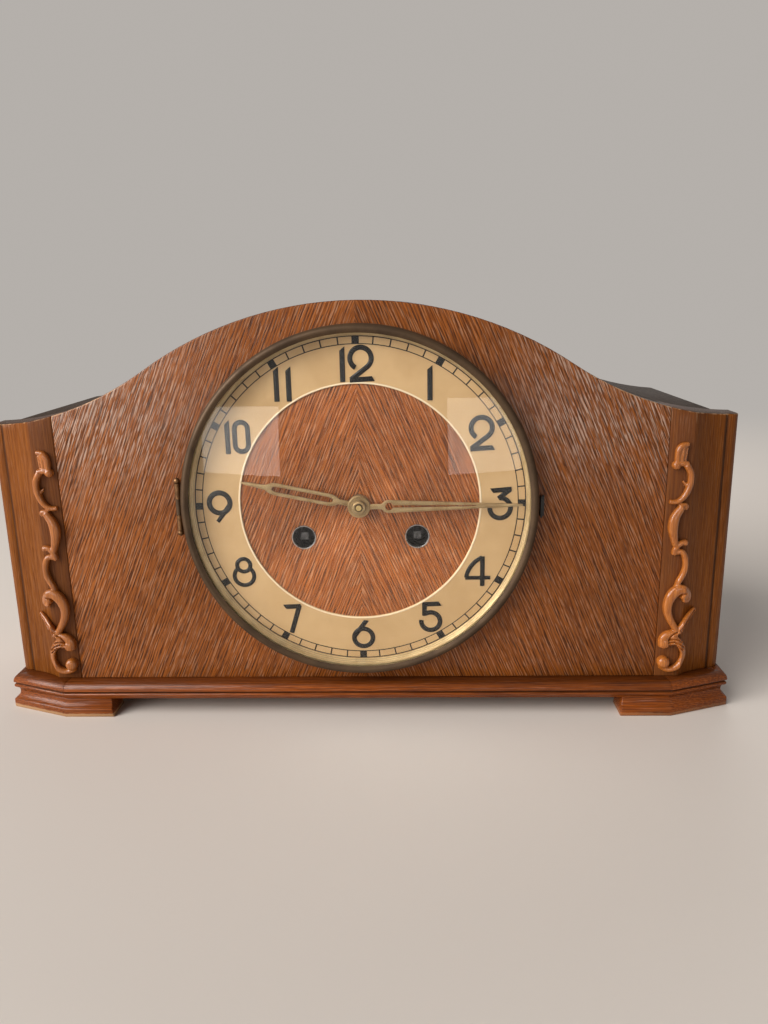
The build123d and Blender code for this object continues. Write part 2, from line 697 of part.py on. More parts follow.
def hour_hand():
    near, far = HOUR_LOOP
    middle = Pos(0, (near + far) / 2) * Rot(0, 0, 90)
    drawing = Circle(HUB_RADIUS)
    drawing += tapered(0, near, HAND_STEM_WIDTH, HAND_STEM_WIDTH)
    drawing += middle * SlotCenterToCenter(far - near, HOUR_LOOP_WIDTH)
    point = HOUR_HAND_LENGTH - HOUR_POINT
    drawing += tapered(far + 2, point, HOUR_TIP[0], HOUR_TIP[1])
    drawing += tapered(point, HOUR_HAND_LENGTH, HOUR_TIP[1], HOUR_TIP[2])
    drawing -= middle * SlotCenterToCenter(far - near, HOUR_LOOP_OPENING)
    hand = on_dial(drawing, HOUR_HAND_ANGLE, HOUR_HAND_Y, HOUR_HAND_Y + HAND_THICKNESS)
    return hand - rod(CENTRE, HOUR_PIPE_RADIUS, HOUR_HAND_Y - 1, HOUR_HAND_Y + 3)


def minute_hand():
    eye, eye_radius, eye_opening = MINUTE_EYE
    blade, blade_width, tip_width = MINUTE_BLADE
    drawing = Circle(HUB_RADIUS)
    drawing += tapered(0, eye, HAND_STEM_WIDTH, HAND_STEM_WIDTH)
    drawing += Pos(0, eye) * Circle(eye_radius)
    drawing += tapered(eye, blade, 2 * eye_radius, blade_width)
    drawing += tapered(blade, MINUTE_HAND_LENGTH, blade_width, tip_width)
    drawing -= Pos(0, eye) * Circle(eye_opening)
    drawing -= tapered(*MINUTE_SLOT)
    hand = on_dial(drawing, MINUTE_HAND_ANGLE, MINUTE_HAND_Y, MINUTE_HAND_Y + HAND_THICKNESS)
    return hand - rod(CENTRE, CANNON_PIPE_RADIUS, MINUTE_HAND_Y - 1, MINUTE_HAND_Y + 3)


def hand_nut():
    front = MINUTE_HAND_Y - NUT_HEIGHT
    nut = fillet(rod(CENTRE, NUT_RADIUS, front, MINUTE_HAND_Y).edges().group_by(Axis.Y)[0], 0.8)
    return nut - rod(CENTRE, CENTRE_ARBOR_RADIUS + RUNNING_FIT, front - 1, MINUTE_HAND_Y + 1)


def cannon_pinion():
    """The minute hand's pipe and pinion, which slips on the centre arbor when the hands are set."""
    phase = meshing_phase(CENTRE, CANNON_TEETH, MINUTE_ARBOR, MINUTE_TEETH)
    pinion = gear(CENTRE, CANNON_MODULE, CANNON_TEETH, phase, CANNON_Y, CANNON_Y + 2.6)
    pipe = rod(CENTRE, CANNON_PIPE_RADIUS, MINUTE_HAND_Y, CANNON_Y + 2.6)
    return pinion + pipe - rod(CENTRE, CENTRE_ARBOR_RADIUS + RUNNING_FIT, MINUTE_HAND_Y - 1, FRONT_PLATE_Y)


def minute_wheel():
    wheel = spoked_wheel(MINUTE_ARBOR, CANNON_MODULE, MINUTE_TEETH, 0.0, CANNON_Y + 0.6, CANNON_Y + 2.0)
    phase = meshing_phase(MINUTE_ARBOR, MINUTE_PINION, CENTRE, HOUR_TEETH)
    pinion = gear(MINUTE_ARBOR, HOUR_MODULE, MINUTE_PINION, phase, HOUR_WHEEL_Y - 0.5, CANNON_Y + 2.0)
    pivot = rod(MINUTE_ARBOR, PIVOT_RADIUS, CANNON_Y, FRONT_PLATE_Y + PLATE_THICKNESS)
    return wheel + pinion + pivot


def hour_wheel():
    bore = rod(CENTRE, CANNON_PIPE_RADIUS + RUNNING_FIT, HOUR_HAND_Y - 1, CANNON_Y)
    wheel = spoked_wheel(CENTRE, HOUR_MODULE, HOUR_TEETH, 0.0, HOUR_WHEEL_Y, HOUR_WHEEL_Y + 1.4)
    pipe = rod(CENTRE, HOUR_PIPE_RADIUS, HOUR_HAND_Y, HOUR_WHEEL_Y + 3.5)
    return wheel + pipe - bore


# Movement


def plate(y):
    middle = (PLATE_BOTTOM + PLATE_TOP) / 2
    drawing = Pos(0, middle) * RectangleRounded(2 * PLATE_HALF_WIDTH, PLATE_TOP - PLATE_BOTTOM, 6)
    for place in TRAIN_ARBORS:
        drawing -= Pos(place[0], place[1]) * Circle(PIVOT_RADIUS + RUNNING_FIT)
    for place in (TIME_BARREL, STRIKE_BARREL):
        drawing -= Pos(place[0], place[1]) * Circle(WINDING_RADIUS + RUNNING_FIT)
    return slab(drawing, y, y + PLATE_THICKNESS)


def click_place(side):
    return polar(TIME_BARREL if side > 0 else STRIKE_BARREL, RATCHET_RADIUS + 4.0, 90 - side * 60)


def front_plate():
    sheet = plate(FRONT_PLATE_Y)
    sheet -= rod(CENTRE, CENTRE_ARBOR_RADIUS + RUNNING_FIT, FRONT_PLATE_Y - 1, FRONT_PLATE_Y + 5)
    sheet -= rod(MINUTE_ARBOR, PIVOT_RADIUS + RUNNING_FIT, FRONT_PLATE_Y - 1, FRONT_PLATE_Y + 5)
    for side in (-1, 1):
        sheet += rod(click_place(side), CLICK_PIVOT_RADIUS, RATCHET_Y - 0.6, FRONT_PLATE_Y)
    return sheet


def back_plate():
    """The rear plate, with the bracket that hangs the pendulum and the stud of the hammers."""
    sheet = plate(BACK_PLATE_Y)
    back = BACK_PLATE_Y + PLATE_THICKNESS
    sheet -= rod(CENTRE, PIVOT_RADIUS + RUNNING_FIT, BACK_PLATE_Y - 1, back + 1)
    cock_y = PENDULUM_Y + 3
    sheet += block(-9, 9, cock_y, cock_y + 2.5, ANCHOR[1] - 4, ANCHOR[1] + 6)
    for side in (-1, 1):
        sheet += rod((side * 7.0, ANCHOR[1] + 3.5), 1.6, back, cock_y)
    sheet += rod(ANCHOR, 1.0, PENDULUM_Y - 2.0, cock_y)
    sheet += rod((HAMMER_PIVOT_X, HAMMER_PIVOT_Z), STUD_RADIUS, back, GONG_YS[1] + 6)
    return sheet


def pillar_places():
    x = PLATE_HALF_WIDTH - PILLAR_INSET
    return [(sx * x, z) for sx in (-1, 1) for z in (PLATE_BOTTOM + PILLAR_INSET, PLATE_TOP - PILLAR_INSET)]


def movement_pillars():
    """The pillars between the plates, and in line with them the posts that stand on the panel."""
    pieces = []
    for place in pillar_places():
        pieces.append(rod(place, PILLAR_RADIUS, PANEL_THICKNESS, FRONT_PLATE_Y))
        pieces.append(rod(place, PILLAR_RADIUS, FRONT_PLATE_Y + PLATE_THICKNESS, BACK_PLATE_Y))
    return Compound(children=pieces)


def barrel(place):
    """A spring barrel: a drum with the great wheel at its front, turning on the winding arbor."""
    wheel_end = GREAT_WHEEL_Y + GREAT_WHEEL_THICKNESS
    wheel = gear(place, GREAT_MODULE, GREAT_TEETH, 0.0, GREAT_WHEEL_Y, wheel_end)
    drum = rod(place, BARREL_RADIUS, wheel_end, wheel_end + BARREL_LENGTH)
    drum_end = wheel_end + BARREL_LENGTH
    cavity = rod(place, BARREL_RADIUS - BARREL_WALL, wheel_end, drum_end - BARREL_WALL)
    bore = rod(place, WINDING_RADIUS + RUNNING_FIT, GREAT_WHEEL_Y - 1, drum_end + 1)
    return wheel + (drum - cavity) - bore


def ratchet_outline():
    points = []
    for tooth in range(RATCHET_TEETH):
        angle = 360 / RATCHET_TEETH * tooth
        points.append(polar((0.0, 0.0), RATCHET_RADIUS - 1.6, angle))
        points.append(polar((0.0, 0.0), RATCHET_RADIUS, angle + 1))
    return Polygon(*points, align=None)


def winding_arbor(place, side):
    """The arbor that the key turns: a square end, the ratchet wheel and the spring's core."""
    drawing = ratchet_outline()
    if side < 0:
        drawing = mirror(drawing, about=Plane.YZ)
    ratchet = slab(Pos(place[0], place[1]) * drawing, RATCHET_Y, RATCHET_Y + RATCHET_THICKNESS)
    shaft = rod(place, WINDING_RADIUS, RATCHET_Y - 2, BACK_PLATE_Y + PLATE_THICKNESS)
    square = Pos(place[0], place[1]) * Rectangle(WINDING_SQUARE, WINDING_SQUARE)
    return ratchet + shaft + slab(square, WINDING_RECESS, RATCHET_Y)


def mainspring(place):
    """The spring lies as a wound pack inside the drum, clear of its wall and hooked to the arbor."""
    start = GREAT_WHEEL_Y + GREAT_WHEEL_THICKNESS + 0.5
    end = start + BARREL_LENGTH - BARREL_WALL - 1.0
    coil = Circle(BARREL_RADIUS - BARREL_WALL - 4.0) - Circle(WINDING_RADIUS)
    return slab(Pos(place[0], place[1]) * coil, start, end)


def click(side):
    """The pawl that drops into the ratchet; its tip stops just short of the teeth."""
    pivot = click_place(side)
    centre = TIME_BARREL if side > 0 else STRIKE_BARREL
    away = math.degrees(math.atan2(pivot[1] - centre[1], pivot[0] - centre[0]))
    tip_angle = away + side * 48
    tip = polar(centre, RATCHET_RADIUS + 0.4, tip_angle)
    heel = polar(centre, RATCHET_RADIUS + 3.0, tip_angle)
    arm_in = polar(pivot, 2.6, away + side * 90 + 90)
    arm_out = polar(pivot, 2.6, away + side * 90 - 90)
    drawing = Pos(pivot[0], pivot[1]) * Circle(3.0)
    corners = [arm_in, arm_out, heel, tip]
    middle = (sum(c[0] for c in corners) / 4, sum(c[1] for c in corners) / 4)
    corners.sort(key=lambda c: math.atan2(c[1] - middle[1], c[0] - middle[0]))
    drawing += Polygon(*corners, align=None)
    drawing -= Pos(centre[0], centre[1]) * Circle(RATCHET_RADIUS + 0.3)
    drawing -= Pos(pivot[0], pivot[1]) * Circle(CLICK_PIVOT_RADIUS + RUNNING_FIT)
    return slab(drawing, RATCHET_Y, RATCHET_Y + RATCHET_THICKNESS)


def great_pinion(place, barrel_place):
    phase = meshing_phase(place, GREAT_PINION, barrel_place, GREAT_TEETH)
    start = GREAT_WHEEL_Y - PINION_OVERLAP
    end = GREAT_WHEEL_Y + GREAT_WHEEL_THICKNESS + PINION_OVERLAP
    return gear(place, GREAT_MODULE, GREAT_PINION, phase, start, end)


def thin_wheel(place, module, teeth, y):
    return spoked_wheel(place, module, teeth, 0.0, y, y + WHEEL_THICKNESS)


def thin_pinion(place, module, leaves, phase, wheel_y):
    """A pinion that reaches a little past both faces of the wheel it meshes with."""
    start = wheel_y - PINION_OVERLAP
    return gear(place, module, leaves, phase, start, wheel_y + WHEEL_THICKNESS + PINION_OVERLAP)


def time_second_wheel():
    wheel = thin_wheel(TIME_SECOND, SECOND_MODULE, SECOND_TEETH, SECOND_WHEEL_Y)
    return wheel + great_pinion(TIME_SECOND, TIME_BARREL) + train_arbor(TIME_SECOND)


def centre_wheel():
    """The arbor that turns once an hour, long enough to carry the hands in front of the dial."""
    wheel = thin_wheel(CENTRE, CENTRE_MODULE, CENTRE_TEETH, CENTRE_WHEEL_Y)
    phase = meshing_phase(CENTRE, CENTRE_PINION, TIME_SECOND, SECOND_TEETH)
    pinion = thin_pinion(CENTRE, SECOND_MODULE, CENTRE_PINION, phase, SECOND_WHEEL_Y)
    front = MINUTE_HAND_Y - NUT_HEIGHT - 0.6
    shaft = rod(CENTRE, CENTRE_ARBOR_RADIUS, front, BACK_PLATE_Y - END_SHAKE)
    pivot = rod(CENTRE, PIVOT_RADIUS, BACK_PLATE_Y - 1, BACK_PLATE_Y + PLATE_THICKNESS)
    return wheel + pinion + shaft + pivot


def third_wheel():
    phase = meshing_phase(THIRD, THIRD_PINION, CENTRE, CENTRE_TEETH)
    pinion = thin_pinion(THIRD, CENTRE_MODULE, THIRD_PINION, phase, CENTRE_WHEEL_Y)
    wheel = thin_wheel(THIRD, THIRD_MODULE, THIRD_TEETH, THIRD_WHEEL_Y)
    return wheel + pinion + train_arbor(THIRD)


def escape_outline():
    points = []
    for tooth in range(ESCAPE_TEETH):
        angle = 360 / ESCAPE_TEETH * tooth
        points.append(polar((0.0, 0.0), ESCAPE_RADIUS - 1.5, angle))
        points.append(polar((0.0, 0.0), ESCAPE_RADIUS, angle + 1.0))
        points.append(polar((0.0, 0.0), ESCAPE_RADIUS, angle + 2.0))
        points.append(polar((0.0, 0.0), ESCAPE_RADIUS - 1.5, angle + 6.0))
    return Polygon(*points, align=None)


def escape_wheel():
    web = Circle(ESCAPE_RADIUS - 2.6) - Circle(3.0)
    for spoke in range(4):
        web -= Rot(0, 0, 90 * spoke) * Pos(ESCAPE_RADIUS / 2, 0) * Rectangle(ESCAPE_RADIUS, 1.4)
    drawing = Pos(ESCAPE[0], ESCAPE[1]) * (escape_outline() - web)
    phase = meshing_phase(ESCAPE, ESCAPE_PINION, THIRD, THIRD_TEETH)
    pinion = thin_pinion(ESCAPE, THIRD_MODULE, ESCAPE_PINION, phase, THIRD_WHEEL_Y)
    wheel = slab(drawing, ESCAPE_WHEEL_Y, ESCAPE_WHEEL_Y + ESCAPE_THICKNESS)
    return wheel + pinion + train_arbor(ESCAPE)


def pallet_anchor():
    """The anchor over the escape wheel, with the crutch that follows the pendulum."""
    toe = polar((0.0, -ANCHOR_RISE), ESCAPE_RADIUS + PALLET_CLEARANCE, PALLET_ANGLE)
    knee = (toe[0] - 1.4, -3.6)
    elbow = (toe[0], -2.4)
    heel = toe[0] + 1.2
    arm = Polygon((0, -1.6), knee, elbow, (0, 1.6), align=None)
    pallet = Polygon(knee, toe, (heel, toe[1]), (heel, elbow[1]), elbow, align=None)
    half = arm + pallet
    drawing = Circle(3.0) + half + mirror(half, about=Plane.YZ)
    anchor = slab(Pos(ANCHOR[0], ANCHOR[1]) * drawing, ESCAPE_WHEEL_Y - 0.4, ESCAPE_WHEEL_Y + 1.1)
    back = BACK_PLATE_Y + PLATE_THICKNESS
    crutch_y = back + 1.0
    drop = 34.0
    crutch = block(-1.2, 1.2, crutch_y, crutch_y + 1.2, ANCHOR[1] - drop, ANCHOR[1])
    fork = block(-3.4, 3.4, crutch_y, crutch_y + 1.2, ANCHOR[1] - drop - 2, ANCHOR[1] - drop)
    for side in (-1, 1):
        ends = sorted((side * (ROD_RADIUS + 0.4), side * 3.4))
        fork += block(ends[0], ends[1], crutch_y, PENDULUM_Y + 2, ANCHOR[1] - drop - 2, ANCHOR[1] - drop)
    tail = rod(ANCHOR, PIVOT_RADIUS, back - 1, crutch_y + 1.2)
    return anchor + train_arbor(ANCHOR) + tail + crutch + fork


def strike_second_wheel():
    wheel = thin_wheel(STRIKE_SECOND, SECOND_MODULE, STRIKE_SECOND_TEETH, SECOND_WHEEL_Y)
    return wheel + great_pinion(STRIKE_SECOND, STRIKE_BARREL) + train_arbor(STRIKE_SECOND)


def pin_wheel():
    """The wheel whose pins lift the hammers."""
    phase = meshing_phase(PIN_ARBOR, PIN_PINION, STRIKE_SECOND, STRIKE_SECOND_TEETH)
    pinion = thin_pinion(PIN_ARBOR, SECOND_MODULE, PIN_PINION, phase, SECOND_WHEEL_Y)
    wheel = gear(PIN_ARBOR, PIN_MODULE, PIN_TEETH, 0.0, PIN_WHEEL_Y, PIN_WHEEL_Y + 1.0)
    for pin in range(8):
        wheel += rod(polar(PIN_ARBOR, 8.5, 45 * pin), 0.7, PIN_WHEEL_Y, PIN_WHEEL_Y + 5)
    return wheel + pinion + train_arbor(PIN_ARBOR)


def fly():
    """The fan that steadies the striking."""
    phase = meshing_phase(FLY_ARBOR, FLY_PINION, PIN_ARBOR, PIN_TEETH)
    pinion = gear(FLY_ARBOR, PIN_MODULE, FLY_PINION, phase, PIN_WHEEL_Y - 0.5, PIN_WHEEL_Y + 1.5)
    blade = Pos(FLY_ARBOR[0], FLY_ARBOR[1]) * Rot(0, 0, 35) * Rectangle(18.0, 0.6)
    return slab(blade, 45.0, 57.0) + pinion + train_arbor(FLY_ARBOR)


def pendulum_rod():
    """The suspension's loop, the rod and the rating nut's thread."""
    top = ANCHOR[1]
    eye = rod(ANCHOR, 2.6, PENDULUM_Y - 0.6, PENDULUM_Y + 0.6)
    spring = block(-1.6, 1.6, PENDULUM_Y - 0.4, PENDULUM_Y + 0.4, top - 14, top)
    stem = upright(0, PENDULUM_Y, ROD_RADIUS, top - PENDULUM_LENGTH - BOB_RADIUS - 7, top - 12)
    return eye + spring + stem - rod(ANCHOR, 1.0 + RUNNING_FIT, PENDULUM_Y - 3, PENDULUM_Y + 3)


def pendulum_bob():
    centre = (0.0, ANCHOR[1] - PENDULUM_LENGTH)
    bob = rod(centre, BOB_RADIUS, PENDULUM_Y - BOB_THICKNESS / 2, PENDULUM_Y + BOB_THICKNESS / 2)
    bob = fillet(bob.edges(), 2.0)
    return bob - upright(0, PENDULUM_Y, ROD_RADIUS, 0, ARCH_TOP)


def rating_nut():
    top = ANCHOR[1] - PENDULUM_LENGTH - BOB_RADIUS
    return upright(0, PENDULUM_Y, 3.5, top - 5, top) - upright(0, PENDULUM_Y, ROD_RADIUS, 0, ARCH_TOP)


def hammer(y):
    """A hammer on its stud, resting just above its gong rod."""
    pivot = (HAMMER_PIVOT_X, HAMMER_PIVOT_Z)
    head_x = HAMMER_PIVOT_X - HAMMER_ARM
    face = GONG_Z + GONG_ROD_RADIUS + HAMMER_GAP
    hub = rod(pivot, 4.5, y - 3, y + 3)
    arm = block(head_x, HAMMER_PIVOT_X, y - 1, y + 1, HAMMER_PIVOT_Z - 1.5, HAMMER_PIVOT_Z + 1.5)
    stem = block(head_x - 1.5, head_x + 1.5, y - 1, y + 1, face + 12, HAMMER_PIVOT_Z + 1.5)
    head = upright(head_x, y, HAMMER_RADIUS, face, face + 13)
    return hub + arm + stem + head - rod(pivot, STUD_RADIUS + RUNNING_FIT, y - 4, y + 4)


def gong_block():
    half = GONG_BLOCK_SIZE / 2
    x = GONG_BLOCK_X
    y = (GONG_YS[0] + GONG_YS[1]) / 2
    body = block(x - half, x + half, y - half, y + half, PLINTH_HEIGHT, GONG_Z + 8)
    return fillet(body.edges().group_by(Axis.Z)[-1], 3)


def gong_rods():
    start = GONG_BLOCK_X + GONG_BLOCK_SIZE / 2
    pieces = []
    for y in GONG_YS:
        lying = Rot(0, 90, 0) * Cylinder(GONG_ROD_RADIUS, GONG_ROD_LENGTH)
        pieces.append(Pos(start + GONG_ROD_LENGTH / 2, y, GONG_Z) * lying)
    return Compound(children=pieces)


# Back door


def back_door():
    return block(
        -DOOR_HALF_WIDTH + DOOR_GAP,
        DOOR_HALF_WIDTH - DOOR_GAP,
        CASE_DEPTH - BACK_THICKNESS,
        CASE_DEPTH,
        DOOR_BOTTOM + DOOR_GAP,
        DOOR_TOP - DOOR_GAP,
    )


def door_hinge_heights():
    return (DOOR_BOTTOM + DOOR_HINGE_INSET, DOOR_TOP - DOOR_HINGE_INSET)


def door_leaf(z, side):
    """One half of a butt hinge; the door's half has the two end knuckles."""
    x, y = DOOR_AXIS
    half = DOOR_HINGE_LENGTH / 2
    split_at = DOOR_HINGE_LENGTH / 6
    clear = DOOR_KNUCKLE_RADIUS + 0.6
    ends = sorted((x + side * clear, x + side * DOOR_LEAF_WIDTH))
    leaf = block(ends[0], ends[1], CASE_DEPTH, CASE_DEPTH + 1.2, z - half, z + half)
    shake = 0.15
    spans = [(-half, -split_at - shake), (split_at + shake, half)]
    if side < 0:
        spans = [(-split_at + shake, split_at - shake)]
    for low, high in spans:
        tab = sorted((x, x + side * (clear + 1)))
        leaf += block(tab[0], tab[1], CASE_DEPTH + 0.3, CASE_DEPTH + 1.2, z + low, z + high)
        leaf += upright(x, y, DOOR_KNUCKLE_RADIUS, z + low, z + high)
    if side > 0:
        return leaf - upright(x, y, DOOR_PIN_RADIUS + RUNNING_FIT, z - half - 1, z + half + 1)
    return leaf + upright(x, y, DOOR_PIN_RADIUS, z - half, z + half)


def door_leaves(side):
    return Compound(children=[door_leaf(z, side) for z in door_hinge_heights()])


def door_knob():
    place = (DOOR_HALF_WIDTH - 14.0, (DOOR_BOTTOM + DOOR_TOP) / 2)
    neck = rod(place, KNOB_RADIUS * 0.5, CASE_DEPTH, CASE_DEPTH + KNOB_REACH - 4)
    head = rod(place, KNOB_RADIUS, CASE_DEPTH + KNOB_REACH - 6, CASE_DEPTH + KNOB_REACH)
    return neck + fillet(head.edges(), 2.0)


def build():
    """Every piece by name."""
    rail = rail_profile()
    path = plinth_path()
    pieces = {
        "front_panel": front_panel(),
        "top_board": top_board(),
        "right_post": right_post(),
        "left_post": mirrored(right_post()),
        "right_side_panel": right_side_panel(),
        "left_side_panel": mirrored(right_side_panel()),
        "base_board": base_board(),
        "plinth_sides": Compound(children=[run(rail, path, 0), run(rail, path, 4)]),
        "plinth_right_corner": run(rail, path, 1),
        "plinth_front": run(rail, path, 2),
        "plinth_left_corner": run(rail, path, 3),
        "front_right_foot": front_foot(),
        "front_left_foot": mirrored(front_foot()),
        "rear_feet": Compound(children=[rear_foot(), mirrored(rear_foot())]),
        "right_carving": right_carving(),
        "left_carving": mirrored(right_carving()),
        "back_panel": back_panel(),
        "back_door": back_door(),
        "back_door_knob": door_knob(),
        "back_hinge_fixed_leaves": door_leaves(-1),
        "back_hinge_door_leaves": door_leaves(1),
        "chapter_ring": chapter_ring(),
        "winding_bushes": Compound(children=[winding_bush(TIME_BARREL), winding_bush(STRIKE_BARREL)]),
        "bezel_ring": bezel_ring(),
        "bezel_glass": bezel_glass(),
        "sight_ring": sight_ring(),
        "bezel_hinge": bezel_hinge(),
        "bezel_catch": bezel_catch(),
        "hour_hand": hour_hand(),
        "minute_hand": minute_hand(),
        "hand_nut": hand_nut(),
        "cannon_pinion": cannon_pinion(),
        "minute_wheel": minute_wheel(),
        "hour_wheel": hour_wheel(),
        "front_plate": front_plate(),
        "back_plate": back_plate(),
        "movement_pillars": movement_pillars(),
        "time_barrel": barrel(TIME_BARREL),
        "strike_barrel": barrel(STRIKE_BARREL),
        "time_winding_arbor": winding_arbor(TIME_BARREL, 1),
        "strike_winding_arbor": winding_arbor(STRIKE_BARREL, -1),
        "time_mainspring": mainspring(TIME_BARREL),
        "strike_mainspring": mainspring(STRIKE_BARREL),
        "time_click": click(1),
        "strike_click": click(-1),
        "time_second_wheel": time_second_wheel(),
        "centre_wheel": centre_wheel(),
        "third_wheel": third_wheel(),
        "escape_wheel": escape_wheel(),
        "pallet_anchor": pallet_anchor(),
        "strike_second_wheel": strike_second_wheel(),
        "pin_wheel": pin_wheel(),
        "fly": fly(),
        "pendulum_rod": pendulum_rod(),
        "pendulum_bob": pendulum_bob(),
        "rating_nut": rating_nut(),
        "front_hammer": hammer(GONG_YS[0]),
        "rear_hammer": hammer(GONG_YS[1]),
        "gong_block": gong_block(),
        "gong_rods": gong_rods(),
    }
    return pieces


def main():
    os.makedirs("parts", exist_ok=True)
    for name, shape in build().items():
        export_step(Pos(0, SHIFT_Y, 0) * shape, "parts/" + name + ".step")
    print("pieces written, the front panel's face at y =", round(SHIFT_Y, 3))


if __name__ == "__main__":
    main()
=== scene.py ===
# %% [markdown]
# # A tambour mantel clock
# A low wooden case with an arched top, a round dial behind a domed glass, and carved scrolls on its
# posts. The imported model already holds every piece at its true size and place. Blender gives the pieces
# that show their rounded edges, their carving and drawing, and their finishes.

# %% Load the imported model
import math

import bmesh
import bpy
from mathutils import Matrix, Vector


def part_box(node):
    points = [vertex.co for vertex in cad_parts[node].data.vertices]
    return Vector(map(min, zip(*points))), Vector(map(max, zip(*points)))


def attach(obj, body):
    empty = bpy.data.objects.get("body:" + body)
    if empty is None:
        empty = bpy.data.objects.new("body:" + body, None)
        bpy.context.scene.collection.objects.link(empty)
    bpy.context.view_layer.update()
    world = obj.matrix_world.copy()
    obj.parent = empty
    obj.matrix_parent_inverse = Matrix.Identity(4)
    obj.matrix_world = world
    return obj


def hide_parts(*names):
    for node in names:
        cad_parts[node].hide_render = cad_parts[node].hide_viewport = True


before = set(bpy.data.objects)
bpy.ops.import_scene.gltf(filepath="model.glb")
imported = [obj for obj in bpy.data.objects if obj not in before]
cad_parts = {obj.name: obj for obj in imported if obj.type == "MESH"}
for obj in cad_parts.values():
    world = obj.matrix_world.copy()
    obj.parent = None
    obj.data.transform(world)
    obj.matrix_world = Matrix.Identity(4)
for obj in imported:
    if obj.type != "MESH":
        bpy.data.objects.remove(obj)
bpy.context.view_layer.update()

MM = 0.001
METRE = 1 / MM
panel_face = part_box("front_panel")[0].y
ring_low, ring_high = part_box("chapter_ring")
dial_z = (ring_low.z + ring_high.z) / 2


def put(name, data):
    obj = bpy.data.objects.new(name, data)
    bpy.context.scene.collection.objects.link(obj)
    return obj


# %% [markdown]
# ## The camera
# The photograph was taken close to the clock, a little above it, with a wide lens held slightly askew.
# The place, the turn and the lens were worked out from the circles of the dial and the corners of the
# case, so the camera is set by those numbers instead of being moved by eye.

# %% Set the camera
PHOTO_HEIGHT, LENS_PIXELS = 1024, 815.8
SENSOR_MM = 36.0
CAMERA_PLACE = Vector((28.25 * MM, panel_face - 425.89 * MM, 226.45 * MM))
PITCH, YAW, ROLL = (math.radians(a) for a in (14.42, -2.05, 1.11))

level = math.cos(PITCH)
forward = Vector((math.sin(YAW) * level, math.cos(YAW) * level, -math.sin(PITCH)))
level_right = Vector((math.cos(YAW), -math.sin(YAW), 0))
level_down = forward.cross(level_right)
right = math.cos(ROLL) * level_right + math.sin(ROLL) * level_down
down = math.cos(ROLL) * level_down - math.sin(ROLL) * level_right

camera_data = bpy.data.cameras.new("photo_view")
camera_data.sensor_width = SENSOR_MM
camera_data.lens = LENS_PIXELS * SENSOR_MM / PHOTO_HEIGHT
camera_data.clip_start = 0.01
camera = put("photo_view", camera_data)
turn = Matrix((right, -down, -forward)).transposed().to_4x4()
camera.matrix_world = Matrix.Translation(CAMERA_PLACE) @ turn
bpy.context.scene.camera = camera
bpy.context.scene.view_settings.view_transform = "Standard"
print("lens", round(camera_data.lens, 2), "mm")

# %% [markdown]
# ## Building finishes from nodes
# A finish is a small network of nodes that reads the place on the object, in metres. These helpers add a
# node, mix two colours, do a sum, or stretch a range of grey, so that each finish below reads like a
# recipe.

# %% Short names for the nodes that every finish uses
def node(tree, kind, inputs=None, **settings):
    made = tree.nodes.new("ShaderNode" + kind)
    for key, value in settings.items():
        setattr(made, key, value)
    for key, value in (inputs or {}).items():
        if isinstance(value, bpy.types.NodeSocket):
            tree.links.new(value, made.inputs[key])
        else:
            made.inputs[key].default_value = value
    return made


def sum_of(tree, operation, first, second=0.0):
    return node(tree, "Math", {0: first, 1: second}, operation=operation).outputs[0]


def product(tree, first, second):
    return sum_of(tree, "MULTIPLY", first, second)


def mixed(tree, share, first, second, way="MIX"):
    first, second = (c if isinstance(c, bpy.types.NodeSocket) else (*c, 1) for c in (first, second))
    blend = node(tree, "Mix", {0: share, 6: first, 7: second}, data_type="RGBA", blend_type=way)
    return blend.outputs[2]


def spread(tree, value, low, high, to_low=0.0, to_high=1.0):
    limits = {"Value": value, "From Min": low, "From Max": high, "To Min": to_low, "To Max": to_high}
    return node(tree, "MapRange", limits, interpolation_type="SMOOTHSTEP").outputs[0]


def stretched(tree, place, factors):
    return node(tree, "VectorMath", {0: place, 1: factors}, operation="MULTIPLY").outputs[0]


def dot(tree, place, direction):
    return node(tree, "VectorMath", {0: place, 1: direction}, operation="DOT_PRODUCT").outputs["Value"]


def cloud(tree, place, factors, detail=2.0, rough=0.5):
    settings = {"Vector": stretched(tree, place, factors), "Scale": 1.0, "Detail": detail, "Roughness": rough}
    return node(tree, "TexNoise", settings).outputs[0]


# %% Where a point lies on the object
def on_object(tree):
    return node(tree, "TexCoord").outputs["Object"]


def in_mm(tree):
    return stretched(tree, on_object(tree), (METRE, METRE, METRE))


def place_on(tree, axis):
    return node(tree, "SeparateXYZ", {0: on_object(tree)}).outputs[axis]


def marked_places(tree):
    return node(tree, "Attribute", attribute_name="wear_and_painted_light").outputs["Fac"]


# %% Start a finish and give it its surface
def new_finish(name, rough=0.5, metal=0.0):
    material = bpy.data.materials.new(name)
    material.use_nodes = True
    shader = material.node_tree.nodes["Principled BSDF"]
    shader.inputs["Roughness"].default_value = rough
    shader.inputs["Metallic"].default_value = metal
    return material, material.node_tree, shader


def paint(tree, shader, colour, rough, specular):
    tree.links.new(colour, shader.inputs["Base Color"])
    tree.links.new(rough, shader.inputs["Roughness"])
    shader.inputs["Specular IOR Level"].default_value = specular


def relief(tree, shader, height, depth_mm, strength):
    bump = node(tree, "Bump", {"Height": height, "Distance": depth_mm * MM, "Strength": strength})
    for name in ("Normal", "Coat Normal"):
        tree.links.new(bump.outputs[0], shader.inputs[name])


print("finish helpers ready")

# %% [markdown]
# ## Floor, air and lamps
# A pale table top and a pale room. The world looks pale to the camera, to gloss and through glass, but
# lights the clock only softly. The floor is painted, and it fades into the colour of the room with
# distance, so there is no horizon. A broad soft sun and a large lamp, both from the left, give the forms
# their shade. Two small dim lamps low in front stand for windows: they put a soft sheen on the polish and
# on the glass.

